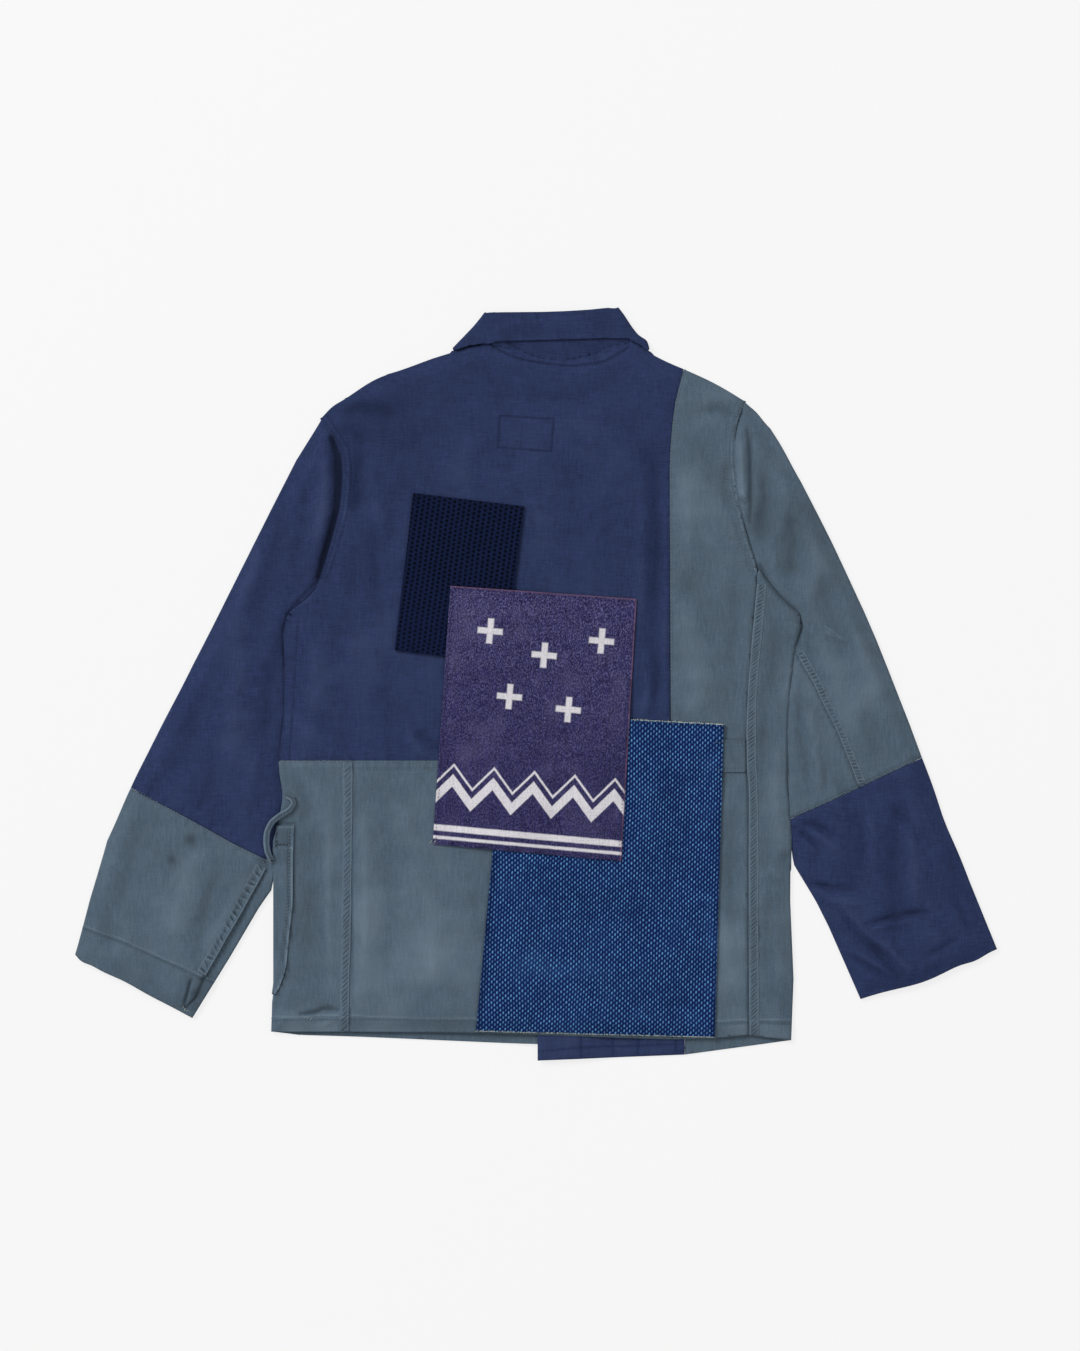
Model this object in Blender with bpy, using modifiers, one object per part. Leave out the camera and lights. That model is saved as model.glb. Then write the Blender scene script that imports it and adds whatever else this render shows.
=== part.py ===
"""Patched boro work jacket, laid face down on a flat surface with its back up.

The jacket lies in the XY plane: +X to its right-hand sleeve, +Y to its collar, +Z up.
Sizes and tables are in millimetres. The origin is at the middle of the footprint, on
the surface that the jacket lies on. Layers from the surface up: collar leaves, left
front, right front, back, then the patches sewn on the back and the turned-down collar.
"""

import math

import bmesh
import bpy
from mathutils import Vector

MM = 0.001

# Cloth
WALL = 1.2  # drill and moleskin with their seam turnings pressed flat
KNIT_WALL = 2.6
WOVEN_WALL = 1.8
PATCH_WALL = 1.1
GAP = 0.3  # between pieces at a seam
LAYER = WALL + 0.4  # from one layer's underside to the next
ON_CLOTH = 0.5  # air under a patch

# Heights of undersides above the surface
BACK_HEIGHT = 2.8
PLACKET_LIFT = 2.3  # the fronts ride over the buttons
PLACKET_X = 21.0  # middle of the overlap
PLACKET_HALF = 16.0
BUTTON_THICK = 2.0
BUTTON_RADIUS = 8.5
BUTTON_TOP_Y = 240.0
BUTTON_STEP = 128.0
BUTTON_COUNT = 5

WAIST_Y = -79.0
LEFT_FRONT_EDGE_X = 41.0
RIGHT_FRONT_EDGE_X = 1.0
RIGHT_FRONT_SEAM_X = 154.0

# Edges as (x, y), from the collar down. Both armholes share the heights between them.
LEFT_ARMHOLE = [(-224, 276), (-212, 258), (-201, 240), (-200, 215), (-203, 185), (-212, 150),
                (-221, 120), (-228, 98), (-242, 85), (-256, 73), (-262, 55)]
RIGHT_ARMHOLE_BACK = [(217, 294), (208, 276), (205, 258), (204, 240), (206, 215), (210, 185),
                      (218, 150), (229, 120)]
RIGHT_ARMHOLE_SIDE = [(229, 120), (246, 98), (258, 85), (270, 73), (273, 60)]
LEFT_SIDE_UPPER = [(-262, 55), (-261, 15), (-261.5, -30), (-267.5, -79)]
LEFT_SIDE_LOWER = [(-267.5, -79), (-267.5, -140), (-271.5, -160), (-272.4, -180), (-272.4, -310),
                   (-275, -330), (-276, -361)]
RIGHT_SIDE = [(273, 60), (268, 37), (264, 5), (261, -30), (260, -100), (264.5, -156),
              (264, -224), (267.5, -306), (265, -370)]
SHOULDER_LEFT = [(-224, 276), (-200, 296), (-156, 320.5), (-111, 338), (-87, 345.5)]
SHOULDER_RIGHT = [(119, 343.5), (138, 334), (153, 328), (180, 316), (200, 305), (217, 294)]
NECK_BACK = [(-48, 354), (-18, 347.5), (5, 340), (22, 338), (38, 339), (71, 347), (98, 357)]
NECK_LEFT = [(-48, 354), (-46, 340), (-42, 325), (-36, 310), (-24, 294), (2, 276), (41, 268)]
NECK_RIGHT = [(98, 354), (95, 340), (91, 325), (85, 310), (73, 294), (46, 276), (1, 268)]
BACK_SEAM_UPPER = [(153, 328), (143, 291), (138.5, 245), (138, 215), (139, -79)]
BACK_SEAM_LOWER = [(139, -79), (141, -369)]
SEAM_A = [(-196, -79), (-196.5, -224), (-199.5, -361)]
SEAM_B = [(229, 120), (218, -24), (220, -364)]
HEM_LEFT_FRONT_Y = (-364.5, -374.4)  # at the side fold, and at the centre edge
HEM_RIGHT_FRONT_Y = (-370.0, -385.0, -391.0)  # at the fold, the seam and the centre edge

# Section heights that every front row falls on, so that the layers stay parallel
ROWS_Y = [354, 340, 325, 310, 294, 276, 268, 258, 240, 215, 185, 150, 120, 98, 85, 73, 55,
          15, -30, -79]
ROWS_LOWER_Y = [-79, -110, -140, -160, -180, -225, -270, -310, -330, -361]
ROLL_ANGLES = (-90, -30, 30, 90)  # round a fold, from its lower layer to its upper one
TURN_ANGLES = (-90, -45, 0, 45, 90)  # round the collar's sides
LEFT_LAST_COLUMN_X = -245
PLACKET_LINES = [-34, -12, 5, 21, 37, 54, 76]

# Sleeves: a row for each section from the armhole down, as outer x, y and inner x, y.
# The first section is the armhole itself, and the inner edge keeps to the body's side.
SLEEVE_GAP = 0.6
SLEEVE_RADIUS = 2.0
SLEEVE_CROWN = 1.2  # the upper layer lifts in the middle
ARMHOLE_POINTS = 7
LEFT_UPPER = [
    (-224, 276, -221, 120), (-250, 233, -228, 98), (-277, 180, -242, 85), (-303, 128, -256, 73),
    (-324, 86, -262, 55), (-338, 58, -261, 15), (-357, 21, -261.5, -30), (-379, -25, -267.5, -79),
    (-397, -62, -268.5, -125), (-418, -107, -275.5, -187),
]
LEFT_LOWER = [
    (-418, -107, -275.5, -187), (-446, -162, -277, -214), (-464, -222, -317.5, -283),
    (-479, -279, -357, -347),
]
RIGHT_UPPER = [
    (217, 294, 229, 120), (243, 266, 246, 98), (275, 209, 258, 85), (305, 149, 270, 73),
    (330, 97, 273, 60), (341, 74, 268, 37), (353, 47, 264, 5), (366, 15, 261, -30),
    (388, -41, 260, -100), (401, -76, 263.3, -141),
]
RIGHT_LOWER = [
    (401, -76, 263.3, -141), (421, -127, 271, -188), (451, -206, 303, -252), (479, -275, 336, -327),
]

# Collar: where it turns under at each side, and its two leaves on the fronts
FALL_BACK = [  # fold x, fold y, edge x, edge y
    (-44, 384.8, -70, 352.0), (-22, 385, -40, 356.6), (4, 385.2, 0, 357.8),
    (30, 386, 38, 359), (56, 387.6, 72, 359.8), (74, 389.6, 96, 359.6),
]
FALL_TURN_LEFT = (-53.6, 384.6, -88, 349)
FALL_TURN_RIGHT = (84.8, 390.5, 117.4, 348)
FALL_FRONT_LEFT = [
    (16, 286, -30, 232), (2, 303, -44, 258), (-16, 328, -58, 290), (-34, 354, -73, 322),
]
FALL_FRONT_RIGHT = [
    (26, 286, 72, 232), (39, 302, 84, 258), (54, 328, 96, 290), (69, 358, 107, 322),
]
STAND_TURN_LEFT = (-47, 380, -48, 354.6)
STAND_TURN_RIGHT = (81, 384, 98, 357.6)
STAND_BACK = [  # top x, top y, neck x, neck y
    (-28, 382.4, -18, 347.5), (0, 382.6, 5, 340), (20, 383, 22, 338), (38, 383.4, 38, 339),
    (62, 385, 71, 347),
]
STAND_FRONT_LEFT = [
    (12, 289, 2, 276), (-5, 310, -24, 294), (-18, 330, -36, 310), (-34, 356, -42, 325),
]
STAND_FRONT_RIGHT = [
    (30, 289, 46, 276), (45, 310, 73, 294), (57, 330, 85, 310), (69, 358, 91, 325),
]
STAND_LOW_Z = LAYER
STAND_TOP_Z = 4.7  # outer height, level with the back at the neck seam
FALL_TOP_Z = STAND_TOP_Z + LAYER + 0.2
FOLD_ROLL = 1.0

# Patches: corners as (x, y), clockwise from the upper left
KNIT = [(-128, 199), (-13, 185), (-33, 22), (-147.5, 35.5)]
PURPLE = [(-89.5, 102.5), (104, 89), (88, -183.5), (-108, -166)]
WOVEN = [(-32, -29), (194.6, -41), (185, -367), (-63, -360.5)]
TAB = [(182, -57), (217.2, -57), (217.2, -91), (182, -91)]

# Tool pocket and hammer loop on the left side
POCKET_BACK = [(-251.5, -146), (-252, -160), (-253, -180), (-252.8, -227), (-257, -263),
               (-260, -296), (-265, -310), (-270, -322)]
POCKET_REACH = 46.0  # across the front, under the fold
POCKET_LIFT = LAYER
LOOP_WIDTH = 6.5
LOOP_PATH = [  # x, y, height of the underside
    (-263.5, -115, 5.0), (-257, -118, 5.2), (-254.5, -123.5, 5.6), (-259, -130.5, 6.0),
    (-268, -136, 6.4), (-275.5, -143, 6.6), (-280, -153, 6.6), (-280.6, -163, 6.4),
    (-279.5, -173, 6.4), (-275, -183, 6.7),
]


def rise(value, start, full):
    """0 before start, 1 past full, with a smooth slope between them."""
    t = max(0.0, min(1.0, (value - start) / (full - start)))
    return t * t * (3 - 2 * t)


def along(points, count):
    """Points at even distances along a polyline, both ends included."""
    points = [Vector(p) for p in points]
    lengths = [(b - a).length for a, b in zip(points, points[1:])]
    result = []
    for i in range(count):
        left = sum(lengths) * i / (count - 1)
        k = 0
        while k < len(lengths) - 1 and left > lengths[k]:
            left -= lengths[k]
            k += 1
        result.append(points[k].lerp(points[k + 1], min(1.0, left / lengths[k])))
    return result


def legs(points, cells):
    """Points along a polyline that keep its corners, with so many cells on each leg."""
    result = [Vector(points[0])]
    for a, b, count in zip(points, points[1:], cells):
        result += [Vector(a).lerp(Vector(b), (k + 1) / count) for k in range(count)]
    return result


def x_at(edge, y):
    """The x of an edge that runs down the jacket, at one height."""
    for (x0, y0), (x1, y1) in zip(edge, edge[1:]):
        if y0 >= y >= y1:
            return x0 if y0 == y1 else x0 + (x1 - x0) * (y0 - y) / (y0 - y1)
    return edge[0][0] if y > edge[0][1] else edge[-1][0]


def grid(top, right, bottom, left):
    """Rows of (x, y) points that fill the area between four edges."""
    across, down = len(top), len(left)
    top, right, bottom, left = ([Vector(p) for p in e] for e in (top, right, bottom, left))
    rows = []
    for i in range(down):
        v = i / (down - 1)
        row = []
        for j in range(across):
            u = j / (across - 1)
            corners = (top[0] * (1 - u) + top[-1] * u) * (1 - v)
            corners += (bottom[0] * (1 - u) + bottom[-1] * u) * v
            sides = left[i] * (1 - u) + right[i] * u
            row.append(top[j] * (1 - v) + bottom[j] * v + sides - corners)
        rows.append(row)
    return rows


def outside(corners, x, y):
    """How far a point lies outside a four-cornered patch; negative inside it."""
    far = -math.inf
    for (x0, y0), (x1, y1) in zip(corners, corners[1:] + corners[:1]):
        length = math.hypot(x1 - x0, y1 - y0)
        far = max(far, ((x - x0) * (y0 - y1) + (y - y0) * (x1 - x0)) / length)
    return far


def step_over(corners, x, y, height):
    """Lift of a cloth that passes over a patch and comes down round it."""
    return height * (1 - rise(outside(corners, x, y), 8, 36))


def front_lift(x, y):
    """Underside of the cloth that rests on the surface, over buttons, collar and pocket."""
    placket = PLACKET_LIFT * (1 - rise(abs(x - PLACKET_X), PLACKET_HALF, PLACKET_HALF + 39))
    leaves = LAYER * rise(y, 196, 224) * (1 - rise(abs(x - 15), 108, 140))
    pocket = POCKET_LIFT * pocket_share(y) * rise(-x, 190, 215)
    return max(placket, leaves, pocket)


def pocket_share(y):
    """1 beside the tool pocket, 0 clear of it."""
    return rise(y, -352, -330) * rise(-y, 116, 138)


def right_front_lift(x, y):
    """The right front lies over the left one's edge, then comes down to the surface."""
    step = rise(x, LEFT_FRONT_EDGE_X + 9, LEFT_FRONT_EDGE_X + 35)
    return front_lift(x, y) + (LAYER + GAP) * (1 - step)


def back_under(x, y):
    """Underside of the back, which lies on both fronts and the collar's leaves."""
    overlap = 3.0 * (1 - rise(abs(x - PLACKET_X), 20, 115)) * (1 - rise(y, 262, 330))
    neck = 0.7 * rise(y, 190, 235) * (1 - rise(abs(x - 15), 105, 150))
    side = 0.7 * pocket_share(y) * rise(-x, 190, 240)
    return BACK_HEIGHT + overlap + neck + side


def back_top(x, y):
    return back_under(x, y) + WALL


def make_material(slot, colour, roughness):
    material = bpy.data.materials.new(slot)
    material.use_nodes = True
    shader = material.node_tree.nodes["Principled BSDF"]
    shader.inputs["Base Color"].default_value = (*colour, 1.0)
    shader.inputs["Roughness"].default_value = roughness
    shader.inputs["Metallic"].default_value = 0.0
    return material


def ease_edges(bm, distance):
    """Draw the free edges of a sheet in, so that neighbours at a seam stay apart."""
    moves = {}
    for edge in bm.edges:
        if not edge.is_boundary:
            continue
        a, b = edge.verts
        along_edge = (b.co - a.co).normalized()
        inward = edge.link_faces[0].calc_center_median() - a.co
        inward -= along_edge * inward.dot(along_edge)
        for vert in edge.verts:
            moves.setdefault(vert, []).append(inward.normalized())
    for vert, normals in moves.items():
        middle = sum(normals, Vector()).normalized()
        widen = max(0.5, middle.dot(normals[0]))
        vert.co += middle * distance / widen


def finish(name, bm, slot):
    """The object of a finished mesh, in the jacket's collection."""
    mesh = bpy.data.meshes.new(name)
    bm.to_mesh(mesh)
    bm.free()
    mesh.materials.append(slot)
    piece = bpy.data.objects.new(name, mesh)
    jacket.objects.link(piece)
    return piece


def cloth(name, rows, wall, slot, thicken=1):
    """A piece of cloth from rows of (x, y, z) points in millimetres.

    Neighbouring rows share the points that both have. The wall grows along the sheet's
    normals, or against them where thicken is -1.
    """
    bm = bmesh.new()
    verts = [[bm.verts.new(Vector(p) * MM) for p in row] for row in rows]
    for upper, lower in zip(verts, verts[1:]):
        for j in range(min(len(upper), len(lower)) - 1):
            bm.faces.new((upper[j], lower[j], lower[j + 1], upper[j + 1]))
    bmesh.ops.remove_doubles(bm, verts=bm.verts, dist=0.00005)
    ease_edges(bm, GAP / 2 * MM)
    solid = finish(name, bm, slot).modifiers.new("Wall", "SOLIDIFY")
    solid.thickness = wall * MM
    solid.offset = thicken


def lay(rows, under):
    """Lift rows of plan points to the height that a layer has there."""
    return [[(p[0], p[1], under(p[0], p[1])) for p in row] for row in rows]


def sliced(rows_y, left, right, lines):
    """Plan rows at fixed heights between two edges, on fixed lines down the jacket."""
    rows = []
    for y in rows_y:
        x0, x1 = x_at(left, y), x_at(right, y)
        rows.append([(min(max(x, x0), x1), y) for x in [x0, *lines, x1]])
    return rows


def hem_left(x):
    side, centre = HEM_LEFT_FRONT_Y
    return centre + (side - centre) * rise(-x, -40, 270)


def hem_right(x):
    side, seam, centre = HEM_RIGHT_FRONT_Y
    from_seam = x - RIGHT_FRONT_SEAM_X
    if from_seam < 0:
        return seam + (centre - seam) * from_seam / (RIGHT_FRONT_EDGE_X - RIGHT_FRONT_SEAM_X)
    return seam + (side - seam) * from_seam / (RIGHT_SIDE[-1][0] - RIGHT_FRONT_SEAM_X)


def side_roll(x, y, low, high, direction):
    """Points round a side fold from the lower layer to the upper one."""
    radius = (high - low) / 2
    points = []
    for degrees in ROLL_ANGLES:
        angle = math.radians(degrees)
        reach = radius * (math.cos(angle) - 1)
        points.append((x + direction * reach, y, low + radius + radius * math.sin(angle)))
    return points


def build_left_front(grey):
    outer = SHOULDER_LEFT[::-1] + LEFT_ARMHOLE[1:] + LEFT_SIDE_UPPER[1:]
    centre = NECK_LEFT + [(LEFT_FRONT_EDGE_X, WAIST_Y)]
    lines = [-225, -190, -155, -120, -90, -60]
    lines += [x for x in PLACKET_LINES if x < LEFT_FRONT_EDGE_X]
    upper = sliced(ROWS_Y, NECK_LEFT[:1] + outer, centre, lines)
    cloth("front_left_upper", lay(upper, front_lift), WALL, grey)

    # Below the waist the front goes round the side fold to the felled seam on the back
    rows = []
    for y in ROWS_LOWER_Y:
        side = x_at(LEFT_SIDE_LOWER, y)
        last = y == ROWS_LOWER_Y[-1]
        columns = [LEFT_FRONT_EDGE_X, *reversed(lines), LEFT_LAST_COLUMN_X]
        plan = [(x, hem_left(x) if last else y) for x in columns]
        low = front_lift(side + 4, y)
        high = back_top(side + 4, y)
        row = lay([plan], front_lift)[0] + side_roll(side, y, low, high, -1)
        seam = x_at(SEAM_A, y)
        row += lay([[(side + 14, y), ((side + seam) / 2, y), (seam, y)]], back_top)[0]
        rows.append(row)
    cloth("front_left_lower", rows, WALL, grey, thicken=-1)


def build_right_front(grey, navy):
    neck = NECK_RIGHT + [(RIGHT_FRONT_EDGE_X, -400)]
    seam_top = (RIGHT_FRONT_SEAM_X, 327)
    outer = [NECK_RIGHT[0], *SHOULDER_RIGHT[:2], seam_top, (RIGHT_FRONT_SEAM_X, -400)]
    lines = [*PLACKET_LINES[2:], 97, 125]
    plan = sliced(ROWS_Y + ROWS_LOWER_Y[1:], neck, outer, lines)
    plan[-1] = [(x, hem_right(x)) for x, _ in plan[-1]]
    cloth("front_right_centre", lay(plan, right_front_lift), WALL, navy)

    # The grey goes on from the seam, round the side fold, to the felled seam on the back
    armhole = RIGHT_ARMHOLE_BACK + RIGHT_ARMHOLE_SIDE[1:]
    outer = [seam_top, *SHOULDER_RIGHT[3:], *armhole[1:]]
    cells = 4
    rows = [[(*seam_top, 0)] * (cells + 1)]
    for y in [y for y in ROWS_Y if seam_top[1] > y > RIGHT_SIDE[0][1]]:
        width = x_at(outer, y) - RIGHT_FRONT_SEAM_X
        rows.append([(RIGHT_FRONT_SEAM_X + width * k / cells, y, 0) for k in range(cells + 1)])
    side = legs(RIGHT_SIDE, [1, 1, 1, 2, 1, 1, 1, 1])
    rolls = [side_roll(x, y, 0, back_top(x, y), 1) for x, y in side]
    fold = [Vector(points[-1][:2]) for points in rolls]
    top = [fold[0], *reversed(RIGHT_ARMHOLE_SIDE[:-1])]
    seam_b = legs(SEAM_B, [4, 5])
    over = grid(top, seam_b, along([fold[-1], seam_b[-1]], len(top)), fold)
    for points, back in zip(rolls, over):
        width = points[0][0] - RIGHT_FRONT_SEAM_X
        y = points[0][1]
        last = points is rolls[-1]
        plan = [RIGHT_FRONT_SEAM_X + width * k / cells for k in range(cells)]
        low = [(x, hem_right(x) if last else y, 0) for x in plan]
        rows.append(low + points + lay([back[1:]], back_top)[0])
    cloth("front_right_side", rows, WALL, grey)


def build_back(grey, navy):
    left = LEFT_ARMHOLE + LEFT_SIDE_UPPER[1:]
    seam = legs(BACK_SEAM_UPPER, [1, 1, 1, len(left) - 4])
    top = SHOULDER_LEFT + NECK_BACK + SHOULDER_RIGHT[:3]
    waist = along([left[-1], seam[-1]], len(top))
    rows = lay(grid(top, seam, waist, left), back_under)
    rows[0] = [(x, y, closing(x, y)) for x, y, _ in rows[0]]
    for row in rows[len(LEFT_ARMHOLE):]:
        x, y, _ = row[0]
        row[0] = (x, y, front_lift(x, y) + LAYER)
    cloth("back_navy", rows, WALL, navy)

    seam_lower = legs(BACK_SEAM_LOWER, [8])
    top = along([SEAM_A[0], seam_lower[0]], 10)
    hem = along([SEAM_A[-1], (-63, -362), seam_lower[-1]], 10)
    plan = grid(top, seam_lower, hem, legs(SEAM_A, [4, 4]))
    cloth("back_grey_left", lay(plan, back_under), WALL, grey)

    left = seam + seam_lower[1:]
    right = [Vector(p) for p in RIGHT_ARMHOLE_BACK] + legs(SEAM_B, [5, 9])[1:]
    top = SHOULDER_RIGHT[2:]
    hem = along([left[-1], (185, -368), right[-1]], len(top))
    rows = lay(grid(top, right, hem, left), back_under)
    rows[0] = [(x, y, closing(x, y)) for x, y, _ in rows[0]]
    cloth("back_grey_right", rows, WALL, grey)


def closing(x, y):
    """The shoulder edge comes down to the front's edge, except at the neck."""
    lowered = front_lift(x, y) + LAYER
    at_neck = 1 - rise(abs(x - 25), 62, 85)
    return lowered + (back_under(x, y) - lowered) * at_neck


def sleeve_ring(row, inset):
    """A flattened ring over one plan row: outer fold, upper layer, inner fold, lower layer.

    inset is 0 for the cloth's outer surface and the wall for its inner one.
    """
    points = [Vector((p[0], p[1], 0)) for p in row]
    last = len(points) - 1
    radius = SLEEVE_RADIUS - inset
    folds = []
    for end, beside, angles in ((0, 1, ROLL_ANGLES), (last, last - 1, ROLL_ANGLES[::-1])):
        out = (points[end] - points[beside]).normalized()
        fold = []
        for degrees in angles:
            angle = math.radians(degrees)
            p = points[end] - out * (SLEEVE_RADIUS - radius * math.cos(angle))
            fold.append((p.x, p.y, SLEEVE_RADIUS + radius * math.sin(angle)))
        folds.append(fold)
    upper = []
    lower = []
    for k in range(1, last):
        crown = SLEEVE_CROWN * math.sin(math.pi * k / last)
        upper.append((points[k].x, points[k].y, SLEEVE_RADIUS + radius + crown))
        lower.append((points[k].x, points[k].y, inset))
    return folds[0] + upper + folds[1] + lower[::-1]


def build_sleeve(name, direction, sections, slot, start=None):
    """A flattened tube over its sections; start gives the points of the first one."""
    shift = Vector((direction * SLEEVE_GAP, 0))
    outer = [Vector(row[:2]) for row in sections]
    inner = [Vector(row[2:]) + shift for row in sections]
    if start:
        outer[0] += shift
        first = [Vector(p) + shift for p in start]
    else:
        first = along([outer[0], inner[0]], ARMHOLE_POINTS)
    last = along([outer[-1], inner[-1]], ARMHOLE_POINTS)
    plan = grid(first, inner, last, outer)
    bm = bmesh.new()
    skins = []
    for inset in (0, WALL):
        rings = [[bm.verts.new(Vector(p) * MM) for p in sleeve_ring(row, inset)] for row in plan]
        for upper, lower in zip(rings, rings[1:]):
            bridge(bm, upper, lower)
        skins.append(rings)
    ease_edges(bm, GAP / 2 * MM)
    for vert in bm.verts:
        vert.co.z = max(vert.co.z, 0.0)
    for end in (0, -1):
        bridge(bm, skins[0][end], skins[1][end])
    bmesh.ops.recalc_face_normals(bm, faces=bm.faces)
    finish(name, bm, slot)


def bridge(bm, first, second):
    """Quads between two closed rings of vertices."""
    count = len(first)
    for j in range(count):
        k = (j + 1) % count
        bm.faces.new((first[j], second[j], second[k], first[k]))


def band_stations(front_left, turn_left, back, turn_right, front_right, low, high):
    """Stations of a collar band from the left front round the back to the right front.

    Each is the band's two edges in space and its outward normal: down on the fronts, up
    on the back, and swinging round at the two turns. low and high are the outer heights.
    """
    up = Vector((0, 0, 1))
    radius = (high - low) / 2

    def flat(station, height, normal):
        ax, ay, bx, by = station
        return Vector((ax, ay, height)), Vector((bx, by, height)), normal

    def turn(station, direction):
        ax, ay, bx, by = station
        out = Vector((ay - by, bx - ax, 0)).normalized()
        out = out if out.x * direction > 0 else -out
        result = []
        for degrees in TURN_ANGLES:
            angle = math.radians(degrees)
            shift = out * radius * (math.cos(angle) - 1)
            shift.z = low + radius + radius * math.sin(angle)
            normal = out * math.cos(angle) + up * math.sin(angle)
            result.append((Vector((ax, ay, 0)) + shift, Vector((bx, by, 0)) + shift, normal))
        return result

    stations = [flat(station, low, -up) for station in front_left]
    stations += turn(turn_left, -1)
    stations += [flat(station, high, up) for station in back]
    stations += turn(turn_right, 1)[::-1]
    stations += [flat(station, low, -up) for station in reversed(front_right)]
    return stations


def build_collar(navy):
    stations = band_stations(STAND_FRONT_LEFT, STAND_TURN_LEFT, STAND_BACK, STAND_TURN_RIGHT,
                             STAND_FRONT_RIGHT, STAND_LOW_Z, STAND_TOP_Z)
    rows = [[top.lerp(neck, k / 3) for k in range(4)] for top, neck, _ in stations]
    cloth("collar_stand", rows, WALL, navy)

    stations = band_stations(FALL_FRONT_LEFT, FALL_TURN_LEFT, FALL_BACK, FALL_TURN_RIGHT,
                             FALL_FRONT_RIGHT, 0, FALL_TOP_Z)
    rows = []
    for fold, edge, normal in stations:
        width = (edge - fold).normalized()
        row = []
        for degrees in (0, 45):  # the roll at the fold
            angle = math.radians(degrees)
            inward = width * (1 - math.cos(angle)) - normal * (1 - math.sin(angle))
            row.append(fold + inward * FOLD_ROLL)
        start = fold + width * FOLD_ROLL
        rows.append(row + [start.lerp(edge, k / 3) for k in range(4)])
    cloth("collar_fall", rows, WALL, navy)


def build_patch(name, corners, columns, rows, wall, slot, under):
    upper_left, upper_right, lower_right, lower_left = corners
    top = along([upper_left, upper_right], columns + 1)
    bottom = along([lower_left, lower_right], columns + 1)
    right = along([upper_right, lower_right], rows + 1)
    left = along([upper_left, lower_left], rows + 1)
    cloth(name, lay(grid(top, right, bottom, left), under), wall, slot)


def build_patches(grey, knit, purple, woven):
    def on_back(x, y):
        return back_top(x, y) + ON_CLOTH

    def woven_under(x, y):
        return on_back(x, y) + step_over(TAB, x, y, WALL + ON_CLOTH)

    def purple_under(x, y):
        over_knit = step_over(KNIT, x, y, KNIT_WALL + ON_CLOTH)
        over_woven = step_over(WOVEN, x, y, WOVEN_WALL + ON_CLOTH)
        return on_back(x, y) + max(over_knit, over_woven)

    build_patch("side_tab", TAB, 2, 2, WALL, grey, on_back)
    build_patch("patch_knit", KNIT, 6, 8, KNIT_WALL, knit, on_back)
    build_patch("patch_woven", WOVEN, 9, 12, WOVEN_WALL, woven, woven_under)
    build_patch("patch_purple", PURPLE, 9, 12, PATCH_WALL, purple, purple_under)


def build_pocket(grey):
    rows = []
    for x_back, y in POCKET_BACK:
        side = x_at(LEFT_SIDE_LOWER, y) - LAYER
        high = back_top(side + 8, y) + LAYER
        row = [(side + POCKET_REACH - k * (POCKET_REACH - 12) / 3, y, 0) for k in range(4)]
        row += side_roll(side, y, 0, high, -1)
        start = row[-1][0]
        row += [(start + (x_back - start) * k / 2, y, high) for k in (1, 2)]
        rows.append(row)
    cloth("side_pocket", rows, WALL, grey, thicken=-1)


def build_loop(grey):
    rows = []
    path = [Vector(p) for p in LOOP_PATH]
    for k, point in enumerate(path):
        ahead = path[min(k + 1, len(path) - 1)] - path[max(k - 1, 0)]
        across = Vector((ahead.y, -ahead.x, 0)).normalized() * LOOP_WIDTH / 2
        rows.append([point + across, point - across])
    cloth("side_loop", rows, WALL, grey)


def build_buttons(horn):
    for k in range(BUTTON_COUNT):
        place = (PLACKET_X * MM, (BUTTON_TOP_Y - k * BUTTON_STEP) * MM, BUTTON_THICK / 2 * MM)
        bpy.ops.mesh.primitive_cylinder_add(
            vertices=16, radius=BUTTON_RADIUS * MM, depth=BUTTON_THICK * MM, location=place)
        button = bpy.context.active_object
        button.name = f"button_{k + 1}"
        button.data.materials.append(horn)
        bpy.context.collection.objects.unlink(button)
        jacket.objects.link(button)


for old in list(bpy.data.objects):
    bpy.data.objects.remove(old)
jacket = bpy.data.collections.new("patched_boro_jacket")
bpy.context.scene.collection.children.link(jacket)

navy_drill = make_material("navy_drill", (0.024, 0.036, 0.100), 0.9)
grey_moleskin = make_material("grey_moleskin", (0.087, 0.130, 0.158), 0.9)
dark_knit = make_material("dark_knit", (0.005, 0.010, 0.040), 0.95)
purple_slub = make_material("purple_slub", (0.056, 0.037, 0.127), 0.9)
indigo_weave = make_material("indigo_weave", (0.010, 0.050, 0.150), 0.95)
dark_horn = make_material("dark_horn", (0.020, 0.022, 0.030), 0.45)

build_left_front(grey_moleskin)
build_right_front(grey_moleskin, navy_drill)
build_back(grey_moleskin, navy_drill)
build_sleeve("sleeve_left_upper", -1, LEFT_UPPER, navy_drill, LEFT_ARMHOLE[:ARMHOLE_POINTS])
build_sleeve("sleeve_left_lower", -1, LEFT_LOWER, grey_moleskin)
build_sleeve("sleeve_right_upper", 1, RIGHT_UPPER, grey_moleskin, along(RIGHT_ARMHOLE_BACK, 7))
build_sleeve("sleeve_right_lower", 1, RIGHT_LOWER, navy_drill)
build_collar(navy_drill)
build_patches(grey_moleskin, dark_knit, purple_slub, indigo_weave)
build_pocket(grey_moleskin)
build_loop(grey_moleskin)
build_buttons(dark_horn)
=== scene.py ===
"""Patched boro work jacket, laid face down: its cloth, stitching and stage.

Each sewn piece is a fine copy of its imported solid, raised into soft folds, with felled
seams, topstitching, frayed edges and patches on it. Tables are in millimetres, in the
jacket's own frame: +X to its right-hand sleeve, +Y to its collar, +Z up.
"""

import math

import bmesh
import bpy
import numpy as np
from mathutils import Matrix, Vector
from mathutils.bvhtree import BVHTree


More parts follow.
